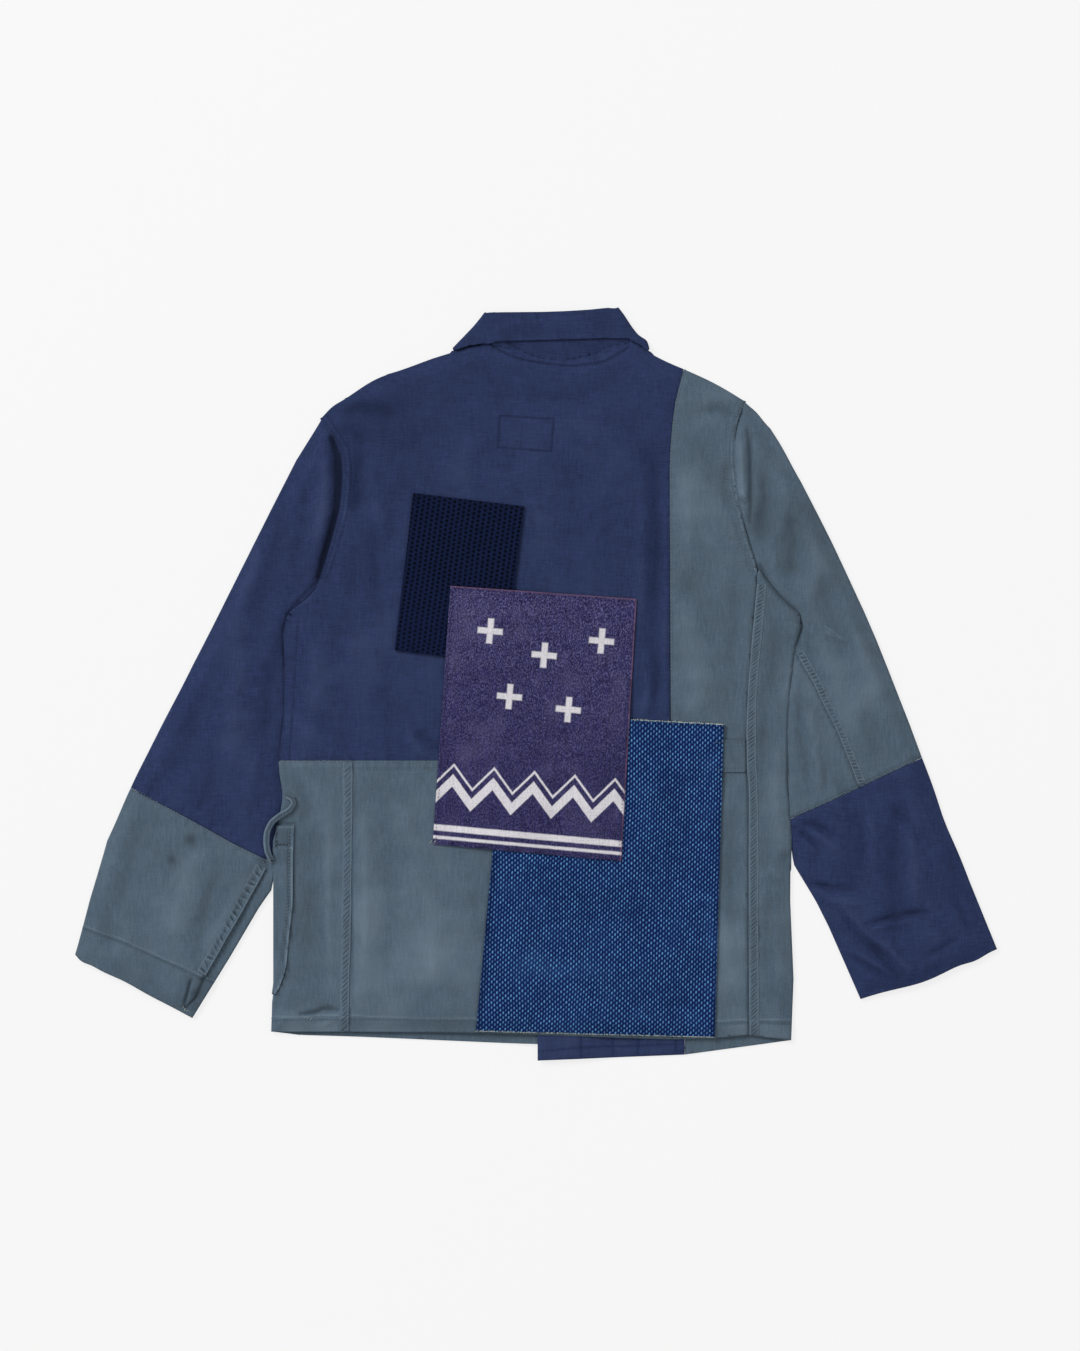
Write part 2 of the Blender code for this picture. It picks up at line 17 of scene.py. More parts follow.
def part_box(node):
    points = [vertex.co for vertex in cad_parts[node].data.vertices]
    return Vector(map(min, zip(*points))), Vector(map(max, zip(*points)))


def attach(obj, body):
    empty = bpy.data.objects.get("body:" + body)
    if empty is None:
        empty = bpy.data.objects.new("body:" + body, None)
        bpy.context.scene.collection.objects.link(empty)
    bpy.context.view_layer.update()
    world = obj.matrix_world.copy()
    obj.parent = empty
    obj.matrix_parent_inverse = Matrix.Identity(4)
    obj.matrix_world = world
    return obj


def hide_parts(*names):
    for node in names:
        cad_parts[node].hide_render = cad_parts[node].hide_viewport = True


bl_info = {
    "name": "Patched Boro Jacket",
    "version": (1, 0, 0),
    "blender": (4, 5, 0),
    "location": "3D View > Sidebar > Jacket",
    "description": "Makes the cloth, stitching and patches of a boro work jacket",
    "category": "Object",
}

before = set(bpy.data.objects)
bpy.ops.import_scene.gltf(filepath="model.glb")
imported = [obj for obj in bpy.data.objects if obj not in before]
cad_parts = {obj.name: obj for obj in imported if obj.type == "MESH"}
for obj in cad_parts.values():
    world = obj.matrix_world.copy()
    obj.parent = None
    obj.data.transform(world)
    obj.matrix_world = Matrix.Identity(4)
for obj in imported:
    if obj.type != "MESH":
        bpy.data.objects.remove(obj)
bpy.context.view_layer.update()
MM = 0.001
# Corners closer than this are one, in metres
MERGE = 0.00001
# Sharper edges than this are a cut piece's own outline
CUT_EDGE = math.radians(72)

# The camera looks straight down from here and sees this much, in metres
CAMERA_PLACE = (0.00364, 0.00936, 6.0)
VIEW_HEIGHT = 1.405
PALE = (0.93, 0.93, 0.93, 1)

# Sewing, in metres but for the two marked: where cloth is taken to lie when none is found,
# how far a seam's strip may drop beside an edge, and the lowest cloth that is sewn through
TOP_LEVEL = 0.004
EDGE_DROP = 0.0006
LOWEST_SEWN = 0.0009
END_THICKNESS = 0.00032
# Step along a felled seam in millimetres, and its rows of stitches as a share of its width
STRIP_STEP = 0.7
SEAM_ROW = 0.37

# Buttons, in metres: the rim, the dished face, the rounding, and the four holes
RIM_WIDTH = 0.0019
DISH_DEPTH = 0.0006
RIM_ROUNDING = 0.0003
HOLE_RADIUS = 0.0009
HOLE_OFFSET = 0.0015
# The floor lies this little below the cloth, so that they don't show through each other
FLOOR_LEVEL = -0.0003


def linear(text):
    """A linear colour from an sRGB hex value."""
    values = [int(text[k:k + 2], 16) / 255 for k in (1, 3, 5)]
    return tuple(v / 12.92 if v <= 0.04045 else ((v + 0.055) / 1.055) ** 2.4 for v in values)


def hump(value, width, power=2):
    """1 where a number is nothing, falling off over a width to either side."""
    return math.exp(-(value / width) ** power)


# ---------------------------------------------------------------- tables, in millimetres

NECK = [(-48, 354), (-18, 347.5), (5, 340), (22, 338), (38, 339), (71, 347), (98, 357)]
JACKET_OUTLINE = [
    *NECK, (119, 343.5), (153, 328), (180, 316), (200, 305), (217, 294), (275, 209),
    (330, 97), (366, 15), (401, -76),
    (451, -206), (479, -275), (336, -327), (303, -252), (264, -184), (264, -224), (267.5, -306),
    (265, -370), (141, -369), (-63, -362), (-276, -361), (-272, -310), (-272, -190), (-280, -190),
    (-326, -292), (-357, -347), (-479, -279), (-464, -222), (-446, -162), (-418, -107), (-357, 21),
    (-303, 128), (-224, 276), (-200, 296), (-156, 320.5), (-111, 338), (-87, 345.5),
]
# Where each sleeve meets the body: down the armhole, round the underarm, down the side
LEFT_CONTACT = [
    (-224, 276), (-212, 258), (-201, 240), (-200, 215), (-203, 185), (-212, 150), (-221, 120),
    (-228, 98), (-242, 85), (-256, 73), (-262, 55), (-261, 15), (-261.5, -30), (-267.5, -79),
    (-267.5, -140), (-272, -165), (-273, -192),
]
RIGHT_CONTACT = [
    (217, 294), (208, 276), (205, 258), (204, 240), (206, 215), (210, 185), (218, 150),
    (229, 120), (246, 98), (258, 85), (270, 73), (273, 60), (268, 37), (264, 5), (261, -30),
    (260, -100), (264.5, -156), (264, -192),
]
# How far each sleeve's inner edge is drawn in under the body: height y, distance
LEFT_DRAW_IN = [(-290, 0), (-250, 1.2), (-212, 4.5), (-186, 6.2), (-140, 4.0), (-100, 1.6), (300, 1.5)]
RIGHT_DRAW_IN = [(-262, 0), (-215, 3.5), (-180, 5.0), (-141, 3.0), (-60, 1.6), (300, 1.5)]
# Each sleeve's kind, meeting line, draw-in, underarm corner and way to the body
JOINS = (
    ("left_sleeve", LEFT_CONTACT, LEFT_DRAW_IN, (-257, 72), 1),
    ("right_sleeve", RIGHT_CONTACT, RIGHT_DRAW_IN, (272, 63), -1),
)
# Fuller curves of the outline: only this kind of piece, x, y, radius, move in x and y
NUDGES = [
    ("", -414, -104, 44, -4.0, -0.4), ("", -172, 316, 26, -1.4, 2.4),
    ("", -213, 288, 13, -1.4, 1.8), ("", -457, -300, 24, -1.4, -3.4),
    ("", -405, -322, 26, -0.6, -1.0), ("", -388, -42, 40, -1.8, 0), ("", 426, -142, 30, -2.2, 0),
    ("", 300, 150, 90, 1.5, 0.4), ("", -472, -285, 9, -1.6, -2.8), ("", 455, -285, 14, 1.5, -2.4),
    ("side", -268, -321, 3, -3.0, -2.0), ("", 402, -304, 40, 2.0, -5.4),
    ("", 229, 283, 11, 1.0, 1.2), ("", 254, 246, 22, 0.8, 0.6), ("", -266, -116, 20, 4.2, 0),
    ("collar", 113, 356, 7, 2.8, 2.2), ("collar", -48, 352, 6, 0, -1.6),
    ("collar", -50, 385, 4.5, 0, 1.5), ("back", -51, 352, 4.5, 0, 3.0),
]
# Lines that stand in more than one table: the stitched label's outline, and tucks in the hem
# and in the left cuff
LABEL = [(-38, 279), (18, 275.5), (15.5, 242), (-40, 246), (-38, 279)]
HEM_TUCK = [(-245, -342), (-230, -341), (-221, -337), (-205, -338)]
CUFF_TUCK = [(-343, -299), (-347, -309), (-354, -325), (-364, -335)]
CUFF_FOLD = [(-359, -306), (-363, -322), (-367, -335)]

# Soft folds: path, half width, height (a trough is negative)
BODY_FOLDS = [
    ([(-208, 279), (-186, 286), (-160, 284), (-140, 276)], 8, -2.0),
    ([(-206, 262), (-190, 262), (-172, 250)], 6, -0.9),
    ([(-181, 244), (-186, 205), (-184, 172)], 8, -1.6),
    ([(-195, 240), (-194, 200), (-200, 160)], 6, 1.0),
    ([(-173, 240), (-169, 195), (-158, 150)], 7, 0.9),
    ([(-165, 175), (-168, 130), (-163, 85)], 9, -1.4),
    ([(-146, 215), (-148, 170), (-156, 125)], 8, -0.8),
    ([(-184, 150), (-190, 110), (-196, 60)], 11, -0.9),
    ([(-225, 90), (-205, 60), (-200, 10)], 12, -0.8),
    ([(-230, 40), (-228, -20), (-238, -70)], 10, 0.8),
    ([(-245, -20), (-215, -50), (-180, -60)], 8, -0.8),
    ([(-150, 40), (-156, -10), (-150, -60)], 13, -0.8),
    ([(-126, -48), (-112, -60), (-96, -72)], 6, -1.3),
    ([(-136, -40), (-128, -58), (-116, -74)], 6, 0.8),
    ([(100, 270), (124, 226), (127, 150), (123, 46)], 10, -1.6),
    ([(112, 205), (110, 130), (108, 50)], 8, 0.9), ([(118, 44), (128, 16), (124, -26)], 6, -1.3),
    ([(112, 20), (116, -6), (112, -34)], 5, 0.8), ([(134, 190), (134, 60), (134, -40)], 4, 0.7),
    ([(-60, 330), (-20, 300), (40, 296), (90, 318)], 13, -0.9),
    ([(30, 250), (40, 200), (36, 130)], 16, -0.8), ([(-70, 260), (-78, 225), (-72, 205)], 12, 0.7),
    ([(80, 180), (72, 140), (70, 110)], 12, -0.7), ([(176, 284), (190, 286), (206, 278)], 7, -1.7),
    ([(160, 262), (180, 236), (188, 200)], 10, -0.9),
    ([(150, 230), (160, 170), (152, 110)], 10, 0.7),
    ([(200, 235), (196, 205), (202, 176)], 5, -0.8), ([(152, 120), (172, 80), (190, 30)], 13, -0.8),
    ([(205, 120), (208, 70), (203, 10)], 7, -0.8), ([(160, 20), (168, -10), (158, -36)], 10, 0.7),
    ([(243, 85), (250, 40), (244, -30)], 9, -1.0), ([(236, 20), (238, -40), (234, -110)], 6, -0.8),
    ([(252, -60), (248, -120), (254, -180)], 8, 0.8),
    ([(250, -190), (240, -260), (250, -340)], 11, -0.9),
    ([(200, -60), (206, -78), (214, -84)], 5, -0.7),
    ([(206, -110), (203, -200), (208, -300)], 7, -0.8),
    ([(-160, -110), (-150, -190), (-156, -330)], 14, -0.9),
    ([(-120, -200), (-104, -250), (-108, -320)], 12, 0.8),
    ([(-180, -110), (-176, -200), (-180, -320)], 6, 0.6),
    ([(-236, -120), (-232, -200), (-240, -320)], 12, -0.9),
    ([(-250, -96), (-236, -130), (-246, -150)], 6, -0.9),
    ([(-214, -110), (-216, -220), (-212, -320)], 5, 0.7),
    (HEM_TUCK, 3, -1.3),
    ([(-240, -356), (-222, -355), (-212, -350)], 3, 0.8),
    ([(10, -200), (60, -235), (130, -240)], 15, -0.8),
    ([(-40, -280), (20, -300), (70, -290)], 16, 0.7),
    ([(140, -80), (150, -150), (146, -210)], 14, -0.7),
    ([(120, -300), (150, -330), (170, -340)], 10, -0.6),
]
LEFT_SLEEVE_FOLDS = [
    ([(-211, 252), (-206, 215), (-208, 178), (-217, 142), (-228, 108)], 4.5, -2.6),
    ([(-221, 252), (-219, 215), (-222, 175), (-233, 135)], 7, 0.9),
    ([(-236, 215), (-240, 170), (-252, 120)], 8, -0.9),
    ([(-262, 200), (-274, 130), (-292, 50)], 12, -1.0),
    ([(-285, 160), (-304, 90), (-322, 20)], 10, 0.8),
    ([(-262, 70), (-276, 0), (-284, -80)], 9, -1.1),
    ([(-300, 60), (-312, -20), (-318, -100)], 12, 0.8),
    ([(-340, 10), (-356, -50), (-380, -100)], 12, -0.9),
    ([(-284, -60), (-300, -110), (-306, -150)], 8, 0.7),
    ([(-330, -60), (-340, -110), (-352, -138)], 8, -0.8),
    ([(-400, -130), (-420, -180), (-436, -250)], 13, -0.8),
    ([(-350, -170), (-370, -220), (-380, -270)], 12, 0.7),
    ([(-330, -190), (-345, -240), (-352, -286)], 7, -1.0),
    ([(-300, -200), (-322, -240), (-345, -280)], 6, 0.6),
    ([(-450, -230), (-440, -262), (-444, -280)], 7, -0.7),
    ([(-410, -285), (-400, -300), (-396, -318)], 7, -0.5),
    (CUFF_TUCK, 1.4, -0.9),
    (CUFF_FOLD, 1.8, -1.1),
    ([(-370, -300), (-374, -318), (-378, -332)], 5, 0.4),
]
RIGHT_SLEEVE_FOLDS = [
    ([(211, 262), (213, 235), (213.5, 200), (215, 178)], 5, 1.1),
    ([(221, 268), (222, 255), (223, 225), (223, 190), (222, 168)], 3.2, -1.3),
    ([(211, 193), (215, 189), (219, 185)], 1.8, -1.0),
    ([(211, 201), (215, 197), (219, 193)], 1.8, 0.7),
    ([(236, 225), (238, 195), (232, 165), (236, 140)], 7, -1.5),
    ([(252, 215), (258, 185), (250, 150)], 8, 1.0), ([(262, 180), (268, 145), (262, 105)], 8, -1.3),
    ([(240, 150), (246, 130), (246, 112)], 5, 0.8), ([(285, 160), (292, 120), (286, 80)], 10, 0.8),
    ([(300, 56), (309, 50), (321, 45)], 2, 0.6), ([(298, 50), (308, 44), (320, 40)], 3, -0.4),
    ([(290, 120), (306, 70), (330, 20)], 11, -0.9), ([(276, 60), (286, 30), (300, -4)], 7, -0.9),
    ([(330, 60), (345, 20), (360, -20)], 10, 0.7), ([(272, 0), (276, -60), (286, -110)], 7, -1.0),
    ([(282, -20), (290, -60), (298, -110)], 6, 0.8),
    ([(340, -20), (350, -60), (356, -86)], 9, -0.8),
    ([(281, -140), (296, -149), (315, -161)], 4, -1.3),
    ([(284, -150), (300, -161), (318, -176)], 5, 0.8),
    ([(288, -210), (316, -213), (341, -214)], 5, -1.3),
    ([(296, -221), (320, -226), (344, -228)], 5, 0.8),
    ([(345, -267), (366, -290), (384, -309)], 5, -1.5),
    ([(356, -262), (376, -283), (394, -300)], 5, 0.9),
    ([(365, -246), (390, -240), (413, -237)], 4, -1.3),
    ([(377, -114), (372, -190), (374, -273)], 9, -1.2),
    ([(390, -120), (392, -180), (396, -240)], 8, 0.9),
    ([(430, -170), (436, -210), (446, -250)], 8, -0.8),
    ([(330, -130), (326, -170), (332, -220)], 8, -0.7),
    ([(271, -151), (283, -160), (295, -171)], 3, -1.3),
    ([(275, -158), (284, -167), (292, -177)], 3, 0.7),
    ([(277, -144), (290, -148), (302, -155)], 2.6, -1.0),
    ([(333, -126), (340, -155), (338.5, -198)], 6, -1.1),
    ([(346, -128), (350, -158), (348, -196)], 6, 0.7),
    ([(364, -126), (388, -144), (404, -169)], 6, -1.0),
    ([(357, -132), (380, -150), (395, -176)], 5, 0.6),
    ([(280, -207), (293, -208), (306, -211)], 2.6, -1.3),
    ([(281, -212), (294, -213), (306, -216)], 3, 0.7),
    ([(315, -235), (338.5, -264), (368, -286)], 3.4, -1.2),
    ([(322, -232), (345, -260), (372, -280)], 4, 0.7),
    ([(342, -249.5), (382, -238.6), (404, -235)], 2.8, -1.3),
    ([(345, -255), (384, -244), (404, -240)], 3.4, 0.8),
    ([(320, -279), (353, -297), (375, -308)], 3, -1.2),
    ([(326, -275), (357, -292), (378, -303)], 3.4, 0.7),
    ([(404, -279), (420, -272), (437, -264)], 4, -0.9),
    ([(430, -225), (444, -238), (452, -256)], 4, -0.9),
    ([(337, -318.5), (404, -304), (472, -271)], 1.5, -0.9),
    ([(310, -96), (322, -112), (326, -128)], 5, -0.9),
    ([(292, -60), (300, -84), (300, -118)], 5, -0.9),
]
FRONT_FOLDS = [
    ([(-200, 200), (-150, 120), (-140, 0)], 16, 0.5),
    ([(-100, 150), (-90, 20), (-120, -60)], 14, 0.5), ([(110, 240), (130, 120), (120, 0)], 13, 0.5),
    ([(180, 200), (190, 60), (200, -60)], 14, 0.5),
    ([(190, -120), (170, -220), (190, -330)], 14, 0.5),
    ([(-150, -110), (-120, -220), (-150, -330)], 14, 0.5),
]
# On the front hem that shows under the back: pressed folds and the bar-tacked end
FRONT_HEM = [(-272, -364.5), (-185, -368), (-60, -372.4), (0, -374.4), (2, -391), (64, -389),
             (152, -385), (202, -378.6), (265, -370.5)]
HEM_CREASES = [
    ([(46, -362), (47, -390)], 1.3, -0.4), ([(79, -362), (80, -389)], 1.2, -0.3),
    ([(106, -362), (106, -388)], 1.3, -0.4), ([(144.5, -362), (145.5, -386)], 1.1, -0.5),
    ([(-173, -358), (-172, -364)], 1.6, -0.5),
    ([(2, -381), (46, -377.5), (98, -376), (152, -374)], 1.2, -0.35),
]
COLLAR_FOLDS = [
    ([(-33, 358), (-25, 352), (-15, 346)], 2.2, -1.7),
    ([(-18, 362), (-10, 354), (-2, 346)], 3.5, 0.6), ([(94, 356), (82, 350), (66, 345)], 2.4, -1.2),
    ([(-6, 352), (10, 345), (30, 343)], 2.6, -0.6), ([(20, 356), (26, 348), (30, 341)], 5, 0.4),
    ([(60, 358), (64, 350), (62, 344)], 4, -0.4), ([(-60, 372), (-10, 378), (60, 376)], 9, 0.5),
    ([(-50, 364), (20, 366), (80, 368)], 6, -0.3),
]

# Plain seams, where both pieces turn down into the seam: path, half width, depth. The waist
# seam's height is one for both sides.
WAIST = -79
SEAMS = [
    ([(153, 328), (143, 291), (138.5, 245), (138, 215), (139, WAIST)], 2.6, 0.55),
    ([(139, WAIST), (141, -369)], 2.6, 0.5),
    ([(-267, WAIST), (-105, WAIST)], 2.6, 0.6),
    (NECK, 2.4, 0.5),
]
SLEEVE_SEAMS = [
    ([(-418, -107), (-280, -184.5)], 2.6, 0.7),
    ([(401, -76), (263, -141)], 2.6, 0.7),
]
# Turned-up hems: the doubled cloth stands higher below its stitch line
HEM_LINES = [
    [(-275, -347), (-263, -348), (-245, -347), (-227, -345), (-191, -345), (-162, -347), (-63, -348)],
    [(186, -351), (222, -349), (267, -350)],
]
CUFF_LINE = [(-471, -252), (-452, -257), (-433, -265), (-413, -273), (-393, -283), (-370, -293),
             (-346, -301), (-333, -310)]
HEM_RISE = 0.8
# How high the upper layer lies loose over the lower one, and the height in a flat piece
# above which a point is on that upper layer
LOFT = 4.0
UPPER = 1.9
# Heights in the flat pieces between which one layer goes over to the next
TUBE_STEP = (1.3, 2.8)
SIDE_STEP = (1.8, 3.4)
HEM_STEP = (0.5, 1.1)
STAND_STEP = (2.4, 4.0)
FALL_STEP = (4.6, 5.4)
UNDER_FALL = 4.4
# Bands across the jacket, in y: the collar above the neck, its fold, its fall's free edge and its
# stand's foot, below which the stand gets painted shade under the fall, and the fronts' hem, counted
# downwards
NECK_BAND = (345, 365)
FOLD_BAND = (370, 385)
FALL_EDGE = 368
STAND_FOOT = 357
HEM_BAND = (340, 358)
# Places in x and y: where the wrapped sides begin, and the overlap's cut end at the hem
SIDE_START = 185
OVERLAP_END = 153
OVERLAP_HEM = -355
# How many of the contact lines' points run down the armhole to the underarm
UNDERARM = 8

# The front hem darkens along this line, in the back hem's shade
HEM_SHADE = [(150, -380), (212, -372), (262, -370)]
# Places made paler or darker: x, y, radius, tone (paler is positive, darker negative)
MARKS = [
    (-264, -172, 10, -0.22), (-266, -222, 11, -0.14), (-268, -272, 10, -0.14),
    (-142, 275, 56, -0.22), (248, -224, 44, 0.12), (-171, -240, 38, 0.26), (-114, -283, 34, 0.20),
    (-150, -153, 30, 0.14), (-171, -305, 30, 0.20), (-236, -130, 26, 0.12), (-130, -205, 34, 0.10),
    (202, -266, 18, 0.34), (204, -306, 20, 0.22), (175, 190, 34, 0.10), (160, 60, 26, 0.12),
    (190, 290, 20, 0.12), (300, 20, 34, 0.14), (330, -20, 26, 0.12), (250, 0, 20, 0.1),
    (-393, -240, 40, 0.1), (246, -300, 22, 0.14), (-359, -161, 5.5, -0.75), (-379, -182, 5, -0.6),
    (-428, -297, 12, -0.14), (-393, -138, 8, -0.14), (-416, -240, 10, -0.1), (-412, -318, 7, -0.16),
    (280, 180, 30, -0.18), (236, 170, 20, -0.14), (262, 120, 18, -0.14), (300, 100, 22, -0.1),
    (-262, -300, 6, -0.3), (-250, -356, 18, 0.34), (-215, -356, 16, 0.2), (-160, -358, 30, 0.16),
    (210, -362, 16, 0.22), (246, -362, 20, 0.26), (-140, 60, 60, 0.1), (40, 220, 60, 0.08),
    (-60, 300, 50, -0.06), (-180, 10, 40, 0.08), (118, 150, 26, -0.12), (-196, 270, 20, -0.12),
    (-176, 200, 16, -0.1), (-354, -321, 5, -0.4), (-261, -158, 9, -0.2), (-272, -150, 6, -0.2),
]
# Lines made pale or dark along edges, seams, tucks and folds: path, half width, tone. Some of them are
# painted shade, shadow and light, as said above them
PALE_AND_DARK_LINES = [
    # The pocket and its tab: pale lines, and dark lines of painted shadow at their edges
    ([(-253, -147), (-254, -193), (-254, -227), (-258, -263), (-261, -296),
      (-270, -319)], 1.2, 0.5),
    ([(-250.6, -147), (-251.6, -193), (-251.6, -227), (-255.6, -264), (-258.6, -297),
      (-268, -322)], 1.1, -0.7),
    ([(-257, -150), (-258, -193), (-258, -227), (-262, -262), (-265, -292)], 0.9, -0.35),
    ([(-272, -145), (-251, -145)], 1.2, -1.0), ([(-268, -169), (-254, -169.6)], 1.2, 0.5),
    ([(-268, -147), (-252, -147)], 1.4, 0.35),
    ([(-275, -345.6), (-245, -345.6), (-227, -343.6), (-191, -343.6), (-162, -345.6),
      (-63, -346.6)], 0.9, 0.32),
    ([(-275, -349), (-245, -348.6), (-191, -347.2), (-63, -350)], 0.9, -0.3),
    # The woven patch's dark left edge: partly its dark selvedge, partly painted shadow
    ([(-43.5, -177), (-60.5, -359)], 2.2, -0.7),
    ([(186, -349.6), (222, -347.6), (267, -348.6)], 0.9, 0.32),
    ([(186, -352.6), (222, -351), (267, -352)], 1.2, -0.4),
    ([(-471, -250.6), (-433, -263.6), (-393, -281.6), (-333, -308.6)], 0.9, 0.36),
    ([(-471, -253.6), (-433, -266.6), (-393, -284.6), (-333, -311.6)], 1.2, -0.4),
    # Painted shade in the cuff's tuck and fold
    (CUFF_TUCK, 1.3, -0.9),
    (CUFF_FOLD, 1.4, -0.8),
    # Painted shadow along the tab's edges
    ([(-270, -147), (-270, -168)], 1.2, -0.9), ([(-271, -166.4), (-256, -166.4)], 1.0, -0.8),
    # A pale line along the waist seam, and painted light on a fold's ridge on the right sleeve
    ([(-268, -82), (-205, -82)], 1.6, 0.12), ([(297, 62), (307, 55), (319, 46)], 0.8, 0.22),
    # Painted shade in the hem's tuck
    (HEM_TUCK, 1.6, -0.35),
    # Painted shadow of the body's edges over the sleeves at the armholes, underarms and sides, and
    # painted shade in the fold beside the right armhole
    ([(-213, 256), (-206.5, 236), (-205, 212), (-207.5, 182), (-217, 148), (-227, 112)], 3.6, -1.0),
    ([(-228, 108), (-246, 90), (-260, 73), (-264, 50), (-263, 20)], 1.3, -0.7),
    ([(-263, 20), (-263, -30), (-268, -76)], 1.1, -0.45),
    ([(231, 124), (241, 103), (258, 86), (270, 74), (274, 60), (270, 40)], 2.2, -0.6),
    ([(218, 264), (221, 239), (221, 191), (220, 169)], 1.5, -0.28),
    (LABEL, 0.9, -0.3),
    ([(-49, 353), (-28, 342), (-11, 337), (6, 334), (38, 331), (71, 336), (96, 351)], 1.0, -0.5),
    ([(203, 258), (202.5, 239), (203.5, 219), (207, 196), (210, 175), (216, 150),
      (228, 116)], 1.1, 0.4),
    ([(207, 270), (204.6, 252), (204.6, 230), (206.4, 212), (210, 186), (218, 150),
      (229, 120)], 0.9, -0.35),
]

# Felled seams as strips on the cloth: name, middle line, width, folded edge (1 left, -1 right)
# and puckers: their pitch, how far each leans along the seam as it crosses it, and the scatter
FELLED = [
    ("felled_seam_back_left", [(-196, -81), (-196, -140), (-197, -224), (-198.5, -290), (-200, -360)],
     10.5, 1, (5.4, -1.1, 0.3)),
    ("felled_seam_back_right", [(234, 104), (232.5, 88), (230, 60), (226, 19), (223, -24), (223, -88),
                                (225.5, -105), (225.5, -224), (226, -364)], 10.5, -1, (4.0, 0.9, 0.3)),
    ("felled_seam_left_sleeve", [(-286, -189), (-318, -247), (-348, -300)], 11.5, 1, (6.6, 0.35, 0.55)),
    ("felled_seam_right_sleeve", [(273.5, 34), (279, 24), (291, 4), (302, -20), (314, -43), (327, -75),
                                  (338, -103)], 8.5, -1, (4.1, -0.3, 0.3)),
]

KNIT = [(-128, 199), (-13, 185), (-33, 22), (-147.5, 35.5)]
PURPLE = [(-89.5, 102.5), (104, 89), (88, -183.5), (-108, -166)]
WOVEN = [(-32, -29), (194.6, -41), (185, -367), (-63, -360.5)]
LOOP = [(-263.5, -115), (-257, -118), (-254.5, -123.5), (-259, -130.5), (-268, -136), (-275.5, -143),
        (-280, -153), (-280.6, -163), (-279.5, -173), (-275, -183)]
# Tufts of loose thread: x, y, how many. The woven patch's top edge is hidden up to an x.
THREAD_ENDS = [(-107, -164, 4), (-366, -337, 6), (-237, -347, 2)]
UNDER_PURPLE = 99

LEFT_ARMHOLE = [(-223, 274), (-212, 258), (-202, 242), (-200, 226), (-201, 203), (-204, 178),
                (-213, 146), (-222, 118)]
RIGHT_ARMHOLE = [(216, 291), (209, 276), (205, 258), (204, 239), (205, 219), (208, 196),
                 (212, 172), (218, 150), (227, 124)]
NECK_STITCH = [(-45, 351), (-28, 342), (-11, 337), (6, 334), (22, 332), (38, 331), (55, 332),
               (71, 336), (88, 344), (95, 350)]

# Topstitching: colour, path, distance to the path's left
TOPSTITCHES = [
    ("navy", NECK_STITCH, 0), ("navy", LEFT_ARMHOLE, 2.4), ("navy", LEFT_ARMHOLE, 7.6),
    ("navy", LABEL, 0),
    ("navy", [(-248, 60), (-250, 20), (-253, -30), (-257, -77)], 0),
    ("navy", [(3, -381), (31, -379), (46, -377), (98, -376), (152, -374)], 0),
    ("grey", [(154.5, 327), (144.5, 291), (140.2, 245), (139.8, 215), (140.8, -40)], 0),
    ("grey", [(-266, -81.5), (-106, -81.5)], 0), ("grey", [(-188, -88), (-107, -88)], 0),
    ("grey", HEM_LINES[0], 0), ("grey", HEM_LINES[1], 0), ("grey", CUFF_LINE, 0),
    ("grey", [(-416, -109.5), (-281, -186)], 0), ("grey", [(399, -74), (266, -138)], 0),
    ("grey", RIGHT_ARMHOLE, -2.6), ("grey", RIGHT_ARMHOLE, -7.4),
    ("grey", [(-254.6, -149), (-255.6, -193), (-255.6, -227), (-259.6, -262), (-263, -296),
              (-270, -314)], 0),
    ("grey", [(-256.8, -149), (-257.8, -193), (-257.8, -227), (-261.6, -262), (-265, -292)], 0),
    ("grey", [(-270, -165), (-257, -166)], 0), ("grey", [(-270, -169.5), (-257, -170.5)], 0),
    ("grey", [(186, -60), (215, -60)], 0), ("grey", [(186, -88.5), (215, -88.5)], 0),
    ("purple", [(-86.5, 99.6), (101.2, 86.4), (85.6, -180.6), (-104.8, -163.4), (-86.5, 99.6)], 0),
    ("indigo", [(192, -44), (182.4, -363)], 0), ("indigo", [(101, -39.5), (191, -44)], 0),
    ("knit", [(-125, 195.8), (-16.5, 182.6)], 0), ("knit", [(-126.2, 194), (-144.6, 39)], 0),
]

